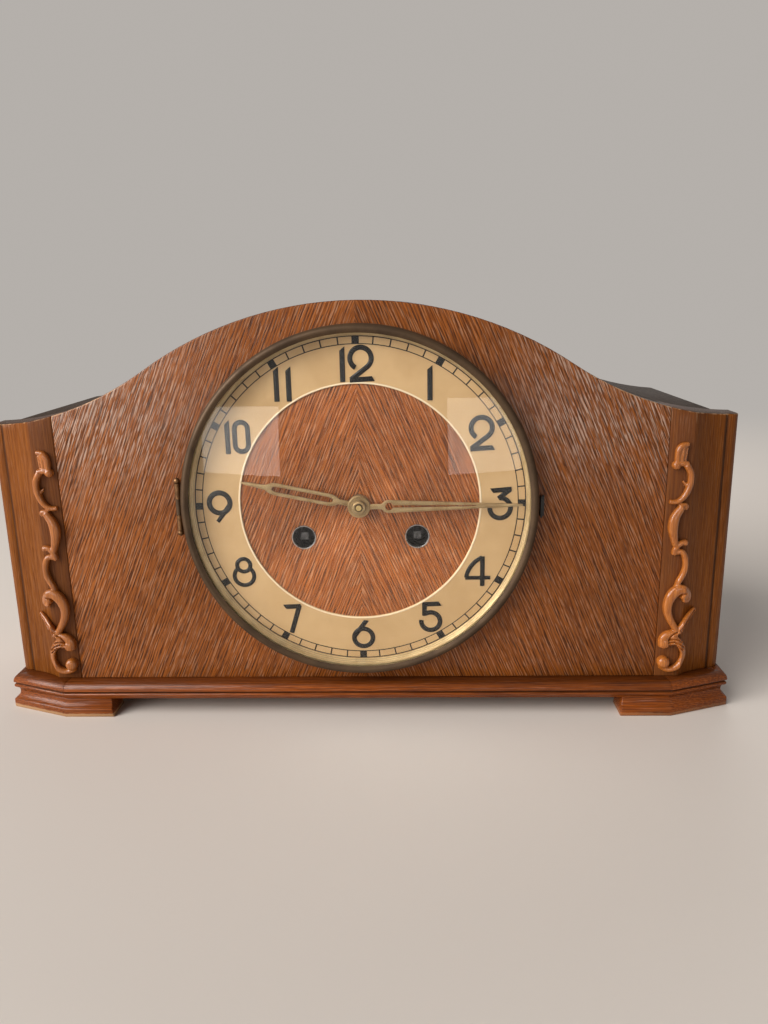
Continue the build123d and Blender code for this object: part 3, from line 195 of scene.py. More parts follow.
# %% Fill the room with pale air
PALE = (0.46, 0.432, 0.405, 1)
SOFT_FILL = (0.075, 0.075, 0.078, 1)


def seen_rays(tree):
    rays = node(tree, "LightPath").outputs
    straight_or_glossy = sum_of(tree, "MAXIMUM", rays["Is Camera Ray"], rays["Is Glossy Ray"])
    return sum_of(tree, "MAXIMUM", straight_or_glossy, rays["Is Transmission Ray"])


world = bpy.data.worlds.new("pale_room")
bpy.context.scene.world = world
world.use_nodes = True
air = world.node_tree
air.nodes.clear()
lighting_air = node(air, "Background", {"Color": SOFT_FILL}).outputs[0]
shown_air = node(air, "Background", {"Color": PALE}).outputs[0]
either_air = node(air, "MixShader", {0: seen_rays(air), 1: lighting_air, 2: shown_air})
node(air, "OutputWorld", {"Surface": either_air.outputs[0]})
print("world has", len(air.nodes), "nodes")

# %% Lay the floor
FLOOR_REACH = 4.0
HAZE_STARTS, HAZE_FULL = 0.35, 1.5
FLOOR_COLOUR = (0.74, 0.68, 0.62, 1)

floor_bm = bmesh.new()
bmesh.ops.create_grid(floor_bm, x_segments=1, y_segments=1, size=FLOOR_REACH)
floor_mesh = bpy.data.meshes.new("floor")
floor_bm.to_mesh(floor_mesh)
floor_bm.free()
floor = put("floor", floor_mesh)

floor_paint, ground, floor_shader = new_finish("pale_floor", rough=0.6)
floor_shader.inputs["Base Color"].default_value = FLOOR_COLOUR
haze = node(ground, "Emission", {"Color": PALE}).outputs[0]
distance = node(ground, "VectorMath", {0: on_object(ground)}, operation="LENGTH").outputs["Value"]
far_and_seen = product(ground, spread(ground, distance, HAZE_STARTS, HAZE_FULL), seen_rays(ground))
fading = node(ground, "MixShader", {0: far_and_seen, 1: floor_shader.outputs[0], 2: haze})
ground.links.new(fading.outputs[0], ground.nodes["Material Output"].inputs["Surface"])
floor_mesh.materials.append(floor_paint)
print("floor", 2 * FLOOR_REACH, "m wide")

# %% Hang the lamps
WARM_WHITE = (1.0, 0.97, 0.94)
CLOCK = (0, -0.05, 0.12)


def lamp(name, kind, place, aim, strength, **settings):
    data = bpy.data.lights.new(name, kind)
    data.energy = strength
    data.color = WARM_WHITE
    for key, value in settings.items():
        setattr(data, key, value)
    hung = put(name, data)
    turn = (Vector(aim) - Vector(place)).to_track_quat("-Z", "Y").to_matrix().to_4x4()
    hung.matrix_world = Matrix.Translation(place) @ turn
    hung.visible_camera = False
    print(name, strength)


def soft_box(name, place, aim, strength, wide, high):
    lamp(name, "AREA", place, aim, strength, shape="RECTANGLE", size=wide, size_y=high)


lamp("soft_sun", "SUN", (-1.42, -1.04, 1.21), CLOCK, 2.8, angle=math.radians(50))
soft_box("left_lamp", (-1.06, -0.62, 0.55), CLOCK, 7.0, 0.5, 0.7)
soft_box("left_window", (-0.50, -0.98, 0.14), (-0.45, 0, 0.14), 0.75, 0.32, 0.25)
soft_box("right_window", (0.40, -0.98, 0.15), (0.36, 0, 0.15), 0.55, 0.28, 0.27)
soft_box("rear_lamp", (0.2, 1.2, 1.1), CLOCK, 6, 0.9, 0.7)

# %% [markdown]
# ## Making a piece
# Every piece is built as a bmesh in its final place. One helper closes its seams, turns its faces
# outwards, smooths the shading up to a crease angle and ties it to the body it moves with. It also hides
# the plain solids of the imported model that the piece stands for.

# %% Turn a bmesh into a piece
WELD = 0.002 * MM


def piece(name, bm, body, finish, stands_for=(), crease=35):
    bmesh.ops.remove_doubles(bm, verts=bm.verts, dist=WELD)
    bmesh.ops.recalc_face_normals(bm, faces=bm.faces)
    mesh = bpy.data.meshes.new(name)
    bm.to_mesh(mesh)
    bm.free()
    mesh.shade_smooth()
    mesh.set_sharp_from_angle(angle=math.radians(crease))
    mesh.materials.append(finish)
    obj = put(name, mesh)
    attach(obj, body)
    if stands_for:
        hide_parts(*stands_for)
    print(name, len(mesh.polygons), "faces")


# %% Round over sharp edges
def sharp_edges(bm, crease):
    return [e for e in bm.edges if e.is_manifold and e.calc_face_angle() > math.radians(crease)]


def bevelled(bm, edges, width, segments):
    return bmesh.ops.bevel(bm, geom=edges, offset=width * MM, offset_type="OFFSET", affect="EDGES",
                           segments=segments, profile=0.5, material=-1, clamp_overlap=False)


# %% [markdown]
# ## Wood
# The case is veneered in an open-pored brown wood. Looked at closely, such wood has growth lines at an
# even gap that wander and fade, fine fibres, and short dark pores in the dark lines; pale spots in the pale
# ones are painted glints, where light catches the polish. Veneer could be copied from a scan, but noise
# that is stretched along the grain fits a piece of any shape, so a piece only has to say which way its grain
# runs.

# %% The direction of the grain
GRAIN_ANGLE = math.radians(67)
LEAF_SHIFT = 53.0


def straight_grain(along):
    def lines(tree):
        place = node(tree, "SeparateXYZ", {0: in_mm(tree)}).outputs
        order = {"X": "YZX", "Y": "XZY", "Z": "XYZ"}[along]
        return node(tree, "CombineXYZ", {i: place[axis] for i, axis in enumerate(order)}).outputs[0]
    return lines


def chevron_grain(tree):
    place = on_object(tree)
    halves = node(tree, "VectorMath", {0: place}, operation="ABSOLUTE").outputs[0]
    sides = node(tree, "VectorMath", {0: place}, operation="SIGN").outputs[0]
    steep, flat = math.sin(GRAIN_ANGLE) * METRE, math.cos(GRAIN_ANGLE) * METRE
    across = dot(tree, halves, (steep, 0, flat))
    along = dot(tree, halves, (-flat, 0, steep))
    leaf = sum_of(tree, "ADD", dot(tree, place, (0, METRE, 0)), dot(tree, sides, (LEAF_SHIFT, 0, 0)))
    return node(tree, "CombineXYZ", {0: across, 1: leaf, 2: along}).outputs[0]


print("the grain of the front leans", round(math.degrees(GRAIN_ANGLE)), "degrees")

# %% The growth lines
LINE_GAP = 1.55
DRIFT, SHIVER = 3.0, 1.5


def growth_lines(tree, lines):
    evenly = sum_of(tree, "DIVIDE", dot(tree, lines, (1, 1, 0)), LINE_GAP)
    drift = product(tree, cloud(tree, lines, (0.10, 0.10, 0.008)), DRIFT)
    shiver = product(tree, cloud(tree, lines, (0.40, 0.40, 0.03)), SHIVER)
    turns = sum_of(tree, "ADD", evenly, sum_of(tree, "ADD", drift, shiver))
    ripple = sum_of(tree, "SINE", product(tree, turns, math.tau))
    strength = spread(tree, cloud(tree, lines, (0.30, 0.30, 0.020)), 0.35, 0.65, 0.2, 1.0)
    return spread(tree, product(tree, ripple, strength), -1.0, 1.0)


def in_pale_lines(tree, growth):
    return spread(tree, growth, 0.2, 0.8, 0.2, 1.0)


def in_dark_lines(tree, growth):
    return spread(tree, growth, 0.8, 0.2, 0.2, 1.0)


print("a growth line every", LINE_GAP, "mm")

# %% The recipe for wood
FIBRES = (2.1, 2.1, 0.045)
PORES, GLINT_SCALE = (2.0, 2.0, 0.13), (2.0, 2.3, 0.13)
GLINT_COLOUR, BARE_WOOD = (0.52, 0.33, 0.21), (0.60, 0.36, 0.19)
TOP_SHADE = (0.030, 0.016, 0.009)
CONTRAST = 0.2


def patchy(tree, lines, colour):
    patches = spread(tree, cloud(tree, lines, (0.016, 0.016, 0.010), detail=1.5), 0.3, 0.7, 0.88, 1.10)
    grey = node(tree, "CombineColor", {0: patches, 1: patches, 2: patches}).outputs[0]
    return mixed(tree, 1.0, colour, grey, "MULTIPLY")


# Painted shade: faces that point upwards are darkened towards a near-black brown.
def shaded_top(tree, colour, share):
    facing = node(tree, "SeparateXYZ", {0: node(tree, "NewGeometry").outputs["Normal"]}).outputs["Z"]
    return mixed(tree, spread(tree, facing, 0.6, 0.9, 0.0, share), colour, TOP_SHADE)


def wood(name, grain, light, dark, pore, rough=0.45, coat=0.3, gloss=0.22, specular=0.12, lined=0.3,
         pores=0.8, glints=0.3, worn=BARE_WOOD, wear_and_painted_light=0.8, top_shade=0.0, extra=None):
    material, tree, shader = new_finish(name)
    lines = grain(tree)
    growth = growth_lines(tree, lines)
    fibres = cloud(tree, lines, FIBRES, detail=1)
    shade = sum_of(tree, "ADD", product(tree, growth, lined), product(tree, fibres, 1 - lined))
    colour = mixed(tree, spread(tree, shade, 0.5 - CONTRAST, 0.5 + CONTRAST), dark, light)
    holes = spread(tree, cloud(tree, lines, PORES, detail=1), 0.50, 0.61)
    holes = product(tree, holes, in_dark_lines(tree, growth))
    colour = mixed(tree, product(tree, holes, pores), colour, pore)
    # Painted glints: pale spots in the pale lines stand for light catching the polish.
    glint_spots = spread(tree, cloud(tree, lines, GLINT_SCALE, detail=1), 0.52, 0.64)
    glint_spots = product(tree, glint_spots, in_pale_lines(tree, growth))
    colour = mixed(tree, product(tree, glint_spots, glints), colour, GLINT_COLOUR)
    colour = patchy(tree, lines, colour)
    # Painted shade on the upward faces.
    if top_shade:
        colour = shaded_top(tree, colour, top_shade)
    if extra:
        colour = extra(tree, colour)
    rubbed = spread(tree, cloud(tree, lines, (0.35, 0.35, 0.05), detail=4), 0.42, 0.62)
    scuffs = product(tree, product(tree, marked_places(tree), rubbed), wear_and_painted_light)
    colour = mixed(tree, scuffs, colour, worn)
    polish = spread(tree, sum_of(tree, "ADD", holes, scuffs), 0.0, 1.0, rough, rough + 0.25)
    paint(tree, shader, colour, polish, specular)
    shader.inputs["Coat Weight"].default_value = coat
    shader.inputs["Coat Roughness"].default_value = gloss
    relief(tree, shader, sum_of(tree, "SUBTRACT", product(tree, fibres, 0.5), holes), 0.06, 0.6)
    print(name, len(tree.nodes), "nodes")
    return material


# %% [markdown]
# ## Painted shade, painted sheen and bare wood
# Painted shade darkens the grooves and the tops of the mouldings, a painted sheen lies in the upper corners
# of the front, and the feet are worn bare along the floor. All this could be painted by hand, but each
# follows the shape of the case, so each is a band of height, depth or distance from the middle, and keeps
# its place however the pieces are made.

# %% Bands on the object
def from_middle(tree):
    return sum_of(tree, "ABSOLUTE", place_on(tree, "X"))


def near(tree, value, middle, reach):
    away = sum_of(tree, "ABSOLUTE", sum_of(tree, "SUBTRACT", value, middle))
    return spread(tree, away, reach, 0.3 * reach)


# %% Painted shade in the grooves, and darker, greyer inner strips of the posts
QUIRK_REACH, QUIRK_DEPTH = 195.2 * MM, 10.8 * MM
STRIP_FADES, STRIP_FULL = 176.6 * MM, 175.6 * MM
GROOVE_SHADE, STRIP_COLOUR = (0.028, 0.010, 0.004), (0.10, 0.040, 0.022)


def dark_quirk(tree, colour):
    reach = from_middle(tree)
    # Painted shade darkens the groove beside the bead of each post.
    across = near(tree, reach, QUIRK_REACH, 1.4 * MM)
    in_groove = product(tree, across, near(tree, place_on(tree, "Y"), panel_face + QUIRK_DEPTH, 2.5 * MM))
    colour = mixed(tree, product(tree, in_groove, 0.85), colour, GROOVE_SHADE)
    # The inner strips turn darker and greyer: a darker ground with painted shade and a grey sheen on it.
    return mixed(tree, spread(tree, reach, STRIP_FADES, STRIP_FULL, 0.0, 0.4), colour, STRIP_COLOUR)


print("groove", round(QUIRK_REACH / MM, 1), "mm from the middle")

# %% Painted sheen in the upper corners of the front
SHEEN_COLOUR = (0.56, 0.44, 0.36)


def painted_sheen(tree, colour):
    # Painted sheen: pale lines of light on the polish, strongest in the upper outer corners of the front.
    lines = chevron_grain(tree)
    outer = spread(tree, from_middle(tree), 60 * MM, 120 * MM)
    corner = product(tree, outer, spread(tree, place_on(tree, "Z"), 110 * MM, 165 * MM))
    sheen_lines = spread(tree, cloud(tree, lines, (1.8, 2.0, 0.16), detail=1), 0.46, 0.62)
    sheen_lines = product(tree, sheen_lines, in_pale_lines(tree, growth_lines(tree, lines)))
    return mixed(tree, product(tree, product(tree, sheen_lines, corner), 0.55), colour, SHEEN_COLOUR)


# %% Painted shade on the mouldings, and bare feet
SHADE_STARTS, SHADE_FULL = 17.6 * MM, 19.4 * MM
GROOVE_HEIGHT = 14.6 * MM
BARE_ENDS, BARE_FULL = 3.1 * MM, 2.4 * MM
MOULDING_SHADE, FOOT_BARE = (0.030, 0.010, 0.004), (0.42, 0.24, 0.115)


def plinth_shade_and_wear(tree, colour):
    height = place_on(tree, "Z")
    # Painted shade darkens the top of the moulding and its groove.
    upper = spread(tree, height, SHADE_STARTS, SHADE_FULL, 0.0, 0.45)
    groove = product(tree, near(tree, height, GROOVE_HEIGHT, 0.8 * MM), 0.8)
    colour = mixed(tree, sum_of(tree, "MAXIMUM", upper, groove), colour, MOULDING_SHADE)
    ragged = cloud(tree, on_object(tree), (300, 300, 300), detail=4)
    edge = sum_of(tree, "ADD", height, product(tree, ragged, 1.4 * MM))
    bare = spread(tree, edge, BARE_ENDS, BARE_FULL, 0.0, 0.85)
    # Less of the pale bare band shows on the right, as painted shade on the right-hand foot.
    to_the_right = spread(tree, place_on(tree, "X"), 0.0, 150 * MM, 1.0, 0.3)
    return mixed(tree, product(tree, bare, to_the_right), colour, FOOT_BARE)


print("feet bare up to", round(BARE_ENDS / MM, 1), "mm")

# %% The woods of the case: pale lines, dark lines and pores
BROWN = ((0.305, 0.088, 0.013), (0.135, 0.033, 0.004), (0.035, 0.009, 0.002))
POST = ((0.225, 0.068, 0.008), (0.145, 0.039, 0.005), (0.045, 0.012, 0.003))
STAINED = ((0.050, 0.030, 0.020), (0.022, 0.014, 0.009), (0.010, 0.007, 0.005))
PLINTH = ((0.270, 0.062, 0.005), (0.122, 0.026, 0.003), (0.028, 0.007, 0.002))
PLAIN = ((0.36, 0.21, 0.11), (0.22, 0.12, 0.058), (0.10, 0.05, 0.025))
PLINTH_POLISH = dict(rough=0.4, coat=0.36, gloss=0.12, specular=0.07, lined=0.12, pores=0.3, glints=0.08)

front_veneer = wood("front_veneer", chevron_grain, *BROWN, top_shade=0.8, extra=painted_sheen)
side_veneer = wood("side_veneer", straight_grain("Z"), *BROWN)
post_wood = wood("post_wood", straight_grain("Z"), *POST, coat=0.1, specular=0.08, lined=0.12, pores=0.25,
                 glints=0.08, top_shade=0.85, extra=dark_quirk)
dark_top = wood("dark_top", straight_grain("X"), *STAINED, rough=0.6, coat=0.0, glints=0.1,
                worn=(0.30, 0.18, 0.09), wear_and_painted_light=0.4)
plinth_wood = wood("plinth_wood", straight_grain("X"), *PLINTH, **PLINTH_POLISH, extra=plinth_shade_and_wear)
plinth_side_wood = wood("plinth_side_wood", straight_grain("Y"), *PLINTH, **PLINTH_POLISH, extra=plinth_shade_and_wear)
plain_wood = wood("plain_wood", straight_grain("Z"), *PLAIN, rough=0.6, coat=0.0, lined=0.2, pores=0.4,
                  glints=0.1)

# %% [markdown]
# ## The wooden case
# The case pieces already have the right outlines, so each is a copy of its solid with all the sharp edges
# rounded over by about half a millimetre, as sanding and years of dusting leave them. The rounding also
# gives the joints between the pieces their thin dark lines. Where dusters rub, on the front's top edge
# and on the outer edges of the posts, the middle of the rounded edge is marked as worn for the finish.

# %% Where the case is rubbed
RUB_LOW, RUB_HIGH = 163 * MM, 188 * MM
PANEL_REACH, PANEL_RUB, POST_RUB = 177 * MM, 1 * MM, 12 * MM
POST_OUTSIDE, ABOVE_PLINTH = 200 * MM, 30 * MM


def rubbed_edge(spot):
    rub = PANEL_RUB if abs(spot.x) < PANEL_REACH else POST_RUB
    along_top = RUB_LOW < spot.z < RUB_HIGH and spot.y < panel_face + rub
    outside = abs(spot.x) > POST_OUTSIDE and spot.z > ABOVE_PLINTH
    return along_top or outside


print("rubbed along the top from", round(RUB_LOW / MM), "to", round(RUB_HIGH / MM), "mm high")

# %% Soften the edges of a solid, and remember where hands have worn it
FLAT_ANGLE = math.radians(0.4)
ARRIS_ANGLE = 28
WEAR_STARTS = 162 * MM


def softened(source, width, worn=None):
    bm = bmesh.new()
    bm.from_mesh(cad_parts[source].data)
    bmesh.ops.remove_doubles(bm, verts=bm.verts, dist=WELD)
    bmesh.ops.dissolve_limit(bm, angle_limit=FLAT_ANGLE, verts=bm.verts, edges=bm.edges)
    wear_and_painted_light = bm.verts.layers.float.new("wear_and_painted_light")
    on_edge = bm.faces.layers.int.new("on_edge")
    for face in bevelled(bm, sharp_edges(bm, ARRIS_ANGLE), width, 2)["faces"]:
        face[on_edge] = 1
    if worn:
        whole = bm.verts[:] + bm.edges[:] + bm.faces[:]
        bmesh.ops.bisect_plane(bm, geom=whole, dist=WELD / 2, plane_co=(0, 0, WEAR_STARTS),
                               plane_no=(0, 0, 1))
        for vert in bm.verts:
            if worn(vert.co) and all(face[on_edge] for face in vert.link_faces):
                vert[wear_and_painted_light] = 1.0
    return bm


# %% Round over the case
CASE_PIECES = [
    ("front_panel", "veneered_front", 0.7, "front_veneer", front_veneer),
    ("left_post", "left_corner_post", 0.6, "post_wood", post_wood),
    ("right_post", "right_corner_post", 0.6, "post_wood", post_wood),
    ("top_board", "stained_top", 0.7, "dark_top", dark_top),
    ("left_side_panel", "left_veneered_side", 0.5, "side_veneer", side_veneer),
    ("right_side_panel", "right_veneered_side", 0.5, "side_veneer", side_veneer),
    ("plinth_front", "front_moulding", 0.35, "plinth_wood", plinth_wood),
    ("plinth_left_corner", "left_corner_moulding", 0.35, "plinth_wood", plinth_wood),
    ("plinth_right_corner", "right_corner_moulding", 0.35, "plinth_wood", plinth_wood),
    ("plinth_sides", "side_mouldings", 0.35, "plinth_wood", plinth_side_wood),
    ("front_left_foot", "left_bracket_foot", 0.5, "plinth_wood", plinth_wood),
    ("front_right_foot", "right_bracket_foot", 0.5, "plinth_wood", plinth_wood),
    ("rear_feet", "plain_rear_feet", 0.5, "plinth_wood", plinth_side_wood),
    ("base_board", "plain_base", 0.4, "plain_wood", plain_wood),
    ("back_panel", "plain_back", 0.4, "plain_wood", plain_wood),
]
for source, name, width, slot, finish in CASE_PIECES:
    piece(name, softened(source, width, worn=rubbed_edge), "case", finish, [source])
back_door = softened("back_door", 0.6)
piece("plain_back_door", back_door, "back_door_body", plain_wood, ["back_door"])

# %% [markdown]
# ## Metal
# Metal on an old clock is never even: lacquer yellows in patches, and fingers leave small dull spots. One
# flat colour would look new, so a slow cloud shifts the colour and the gloss, and a quick one adds the
# spots and roughens the surface. A piece can also mark some places for a colour of their own: a painted
# highlight on a rim or a lip, painted shade in a groove.

# %% The recipe for metal
def metal(name, bright, tarnished, rough=0.3, metallic=1.0, patch=0.06, spots=0.5, marked=None, specular=0.5,
          grain=0.012):
    material, tree, shader = new_finish(name, rough, metallic)
    place = in_mm(tree)
    patches = spread(tree, cloud(tree, place, (patch, patch, patch), detail=4, rough=0.6), 0.35, 0.68)
    grains = cloud(tree, place, (1.6, 1.6, 1.6), detail=3)
    colour = mixed(tree, patches, bright, tarnished)
    colour = mixed(tree, product(tree, spread(tree, grains, 0.55, 0.75), spots), colour, tarnished)
    colour = mixed(tree, marked_places(tree), colour, marked or bright)
    paint(tree, shader, colour, spread(tree, patches, 0.0, 1.0, rough, rough + 0.15), specular)
    relief(tree, shader, grains, grain, 0.5)
    print(name, len(tree.nodes), "nodes")
    return material


# %% The metals of the dial, the bezel and the hands
# The marked colours are painted light: a highlight on the ring's lip, shade in the sight ring's grooves and a
# highlight on the cups' rims.
dial_gold = metal("dial_gold", (0.44, 0.288, 0.134), (0.388, 0.246, 0.107), rough=0.5, metallic=0.25,
                  patch=0.03, spots=0.2, marked=(0.64, 0.52, 0.35))
sight_gilt = metal("sight_gilt", (0.62, 0.47, 0.25), (0.46, 0.33, 0.16), rough=0.3, metallic=0.6,
                   patch=0.08, spots=0.3, marked=(0.035, 0.024, 0.012))
bezel_bronze = metal("bezel_bronze", (0.088, 0.050, 0.023), (0.054, 0.030, 0.014), rough=0.5, metallic=0.5,
                     patch=0.05)
hinge_copper = metal("hinge_copper", (0.26, 0.14, 0.065), (0.13, 0.07, 0.035), rough=0.4, patch=0.3)
hand_gilt = metal("hand_gilt", (0.35, 0.25, 0.125), (0.24, 0.155, 0.068), rough=0.38, metallic=0.8,
                  patch=0.12)
black_metal = metal("black_metal", (0.030, 0.028, 0.026), (0.012, 0.012, 0.012), rough=0.3, metallic=0.5,
                    patch=0.2)
bush_black = metal("bush_black", (0.020, 0.019, 0.018), (0.010, 0.009, 0.009), rough=0.25, metallic=0.6,
                   patch=0.3, marked=(0.30, 0.28, 0.26))
black_print = metal("black_print", (0.004, 0.0035, 0.003), (0.008, 0.006, 0.005), rough=0.5, metallic=0.0,
                    patch=0.3, specular=0.2)
gloss_black = metal("gloss_black", (0.004, 0.004, 0.004), (0.006, 0.005, 0.004), rough=0.12, metallic=0.0,
                    patch=0.02, spots=0.1, specular=0.3, grain=0.0005)

# %% The metals of the movement and the back
plate_brass = metal("plate_brass", (0.72, 0.52, 0.22), (0.50, 0.34, 0.13), rough=0.34, patch=0.04)
wheel_brass = metal("wheel_brass", (0.78, 0.58, 0.26), (0.56, 0.39, 0.15), rough=0.26, patch=0.08)
steel = metal("steel", (0.56, 0.56, 0.57), (0.36, 0.35, 0.34), rough=0.26, patch=0.08)
arbor_steel = metal("arbor_steel", (0.13, 0.13, 0.135), (0.07, 0.068, 0.066), rough=0.3, patch=0.3)
hinge_brass = metal("hinge_brass", (0.66, 0.46, 0.19), (0.40, 0.26, 0.11), rough=0.34, patch=0.2)
block_iron = metal("block_iron", (0.10, 0.10, 0.105), (0.06, 0.052, 0.048), rough=0.55, metallic=0.8,
                   patch=0.09)

# %% [markdown]
# ## Turned pieces
# The dial ring, bezel and bushes are all round about an axis that points out of the dial. A lathe turns
# such a piece from a bar, and Blender's spin does the same from a drawn section. The points of a section
# are the distance from the axis and the depth from the face of the panel, in millimetres.

# %% A lathe for round pieces
FINE_STEPS, SMALL_STEPS = 192, 64


def turned(bm, section, steps, at=(0.0, dial_z)):
    verts = [bm.verts.new((at[0] + r * MM, panel_face + y * MM, at[1])) for r, y in section]
    edges = [bm.edges.new(pair) for pair in zip(verts, verts[1:] + verts[:1])]
    bmesh.ops.spin(bm, geom=verts + edges, cent=(at[0], 0, at[1]), axis=(0, 1, 0), angle=math.tau,
                   steps=steps, use_merge=True)


def depth_of(spot):
    return (spot.y - panel_face) / MM


def mark(bm, chosen):
    wear_and_painted_light = bm.verts.layers.float.new("wear_and_painted_light")
    for vert in bm.verts:
        if chosen(depth_of(vert.co)):
            vert[wear_and_painted_light] = 1.0


# %% Turn the chapter ring, with a painted highlight on its polished inner lip
RING_SECTION = [(64.2, 0), (92, 0), (92, -0.8), (65.3, -0.8), (65.1, -0.95), (64.5, -0.95), (64.2, -0.7)]
LIP_DEPTH = -0.9

ring = bmesh.new()
turned(ring, RING_SECTION, FINE_STEPS)
# The lip is marked for a painted highlight.
mark(ring, lambda depth: depth < LIP_DEPTH)
piece("gold_chapter_ring", ring, "case", dial_gold, ["chapter_ring"], crease=20)

# %% [markdown]
# ## Minute track and numerals
# The track is printed in black: two thin circles, a stroke at each minute and a square block at every
# fifth. The numerals are separate raised figures with rounded strokes, and the pale streak down each
# stroke is only light on their gloss. Each stroke is a bar or a bowl: a bar is a tapered rod squeezed
# flat, and a bowl is a small oval swept round by spin. A font would be quicker, but its figures would not
# have these rounded strokes.

# %% Print the minute track
DIAL_Y = -0.8
PRINT_THICK = 0.04
TRACK_CIRCLES = ((84.4, 84.9), (88.3, 88.8))
TRACK_MIDDLE, TRACK_HIGH = 86.6, 3.9
MINUTE_WIDE, BLOCK_WIDE = 0.75, 3.8

track = bmesh.new()
for inner, outer in TRACK_CIRCLES:
    raised = DIAL_Y - PRINT_THICK
    turned(track, [(inner, DIAL_Y), (outer, DIAL_Y), (outer, raised), (inner, raised)], 180)
for minute in range(60):
    turn = Matrix.Translation((0, 0, dial_z)) @ Matrix.Rotation(math.tau * minute / 60, 4, "Y")
    wide = MINUTE_WIDE if minute % 5 else BLOCK_WIDE
    place = Matrix.Translation((0, panel_face + DIAL_Y * MM, TRACK_MIDDLE * MM))
    size = Matrix.Diagonal((wide * MM, 2 * PRINT_THICK * MM, TRACK_HIGH * MM, 1))
    bmesh.ops.create_cube(track, size=1.0, matrix=turn @ place @ size)
piece("minute_track", track, "case", black_print)

# %% Strokes for the numerals
STROKE = 2.7
RAISED = 0.6
SIDES = 14
FORWARD = Vector((0, 1, 0))
TO_DIAL = Matrix.Translation((0, panel_face + DIAL_Y * MM, dial_z)) @ Matrix.Scale(MM, 4)


def bar(bm, at, start, end, width=STROKE, taper=1.0, slants=(0.0, 0.0)):
    start, end = (Vector((at[0] + x, 0, at[1] + z)) for x, z in (start, end))
    length = (end - start).length
    along = (end - start).normalized()
    across = Vector((along.z, 0, -along.x))
    lie = Matrix((across, FORWARD, along)).transposed().to_4x4()
    size = Matrix.Diagonal((width / 2, RAISED, length, 1))
    shape = TO_DIAL @ Matrix.Translation((start + end) / 2) @ lie @ size
    made = bmesh.ops.create_cone(bm, cap_ends=True, segments=SIDES, radius1=1, radius2=taper, depth=1,
                                 matrix=shape)
    back = shape.inverted()
    for vert in made["verts"]:
        local = back @ vert.co
        slant = slants[1] if local.z > 0 else slants[0]
        vert.co += along * (slant * local.x * width / 2 * MM)


def bowl(bm, at, centre, radius, start, sweep, width=STROKE):
    whole = sweep == 360
    start, sweep = math.radians(start), math.radians(sweep)
    outward = Vector((math.cos(start), 0, math.sin(start)))
    onward = Vector((-math.sin(start), 0, math.cos(start)))
    lie = Matrix((outward, FORWARD, onward)).transposed().to_4x4()
    size = Matrix.Diagonal((width / 2, RAISED, 1, 1))
    middle = Vector((at[0] + centre[0], 0, at[1] + centre[1]))
    shape = TO_DIAL @ Matrix.Translation(middle + outward * radius) @ lie @ size
    verts = bmesh.ops.create_circle(bm, cap_ends=not whole, radius=1, segments=SIDES, matrix=shape)["verts"]
    edges = list({e for v in verts for e in v.link_edges})
    faces = list({f for v in verts for f in v.link_faces})
    bmesh.ops.spin(bm, geom=verts + edges + faces, cent=TO_DIAL @ middle, axis=(0, -1, 0), angle=sweep,
                   steps=max(10, round(abs(sweep) * 8)), use_merge=whole)


# %% Draw the figures
def one(bm, at, x=0.0):
    bar(bm, at, (x, -9.0), (x, 7.9), width=2.8, slants=(0.0, 0.8))


def two(bm, at, x=0.0):
    bowl(bm, at, (x, 2.9), 5.5, 240, -292)
    bar(bm, at, (x + 3.7, -1.2), (x - 5.2, -7.9))
    bar(bm, at, (x - 5.8, -8.2), (x + 6.4, -7.6), slants=(0.0, 0.5))


def three(bm, at):
    bowl(bm, at, (0, -2.4), 5.5, 178, 276)
    bar(bm, at, (-1.0, 2.8), (5.2, 7.7))
    bar(bm, at, (5.9, 7.9), (-4.6, 7.1), slants=(0.0, 0.6))


def four(bm, at):
    bar(bm, at, (2.4, -8.4), (2.4, 8.4), width=2.6)
    bar(bm, at, (-6.9, -3.8), (6.7, -3.8), width=2.2)
    bowl(bm, at, (8.2, -5.6), 14.7, 114, 58, width=2.4)


def five(bm, at):
    bowl(bm, at, (0, -2.6), 5.2, 172, 310)
    bar(bm, at, (-3.4, 0.8), (-3.4, 7.9))
    bar(bm, at, (-4.4, 7.3), (5.2, 7.7), slants=(0.0, 0.6))


def six(bm, at):
    bowl(bm, at, (0, -2.2), 5.2, 0, 360)
    bar(bm, at, (-4.8, -1.0), (1.8, 8.0), slants=(0.0, 0.5))


def seven(bm, at):
    bar(bm, at, (4.4, 7.3), (-4.4, 6.9), slants=(0.0, 0.7))
    bar(bm, at, (3.7, 7.8), (-1.2, -8.3))


def eight(bm, at):
    bowl(bm, at, (0, 4.0), 3.65, 0, 360, width=2.3)
    bowl(bm, at, (0, -2.1), 5.4, 126.5, 287, width=2.3)


def nine(bm, at):
    bowl(bm, at, (0, 2.1), 5.6, 0, 360, width=2.9)
    bar(bm, at, (5.2, 0.6), (-1.6, -8.3), width=2.8, taper=0.8)


def ten(bm, at):
    one(bm, at, -5.0)
    bowl(bm, at, (2.4, 4.3), 3.5, 0, 180)
    bowl(bm, at, (2.4, -4.3), 3.5, 180, 180)
    for x in (-1.1, 5.9):
        bar(bm, at, (x, -4.4), (x, 4.4))


def eleven(bm, at):
    one(bm, at, -3.2)
    one(bm, at, 3.2)


def twelve(bm, at):
    one(bm, at, -7.0)
    two(bm, at, 2.5)


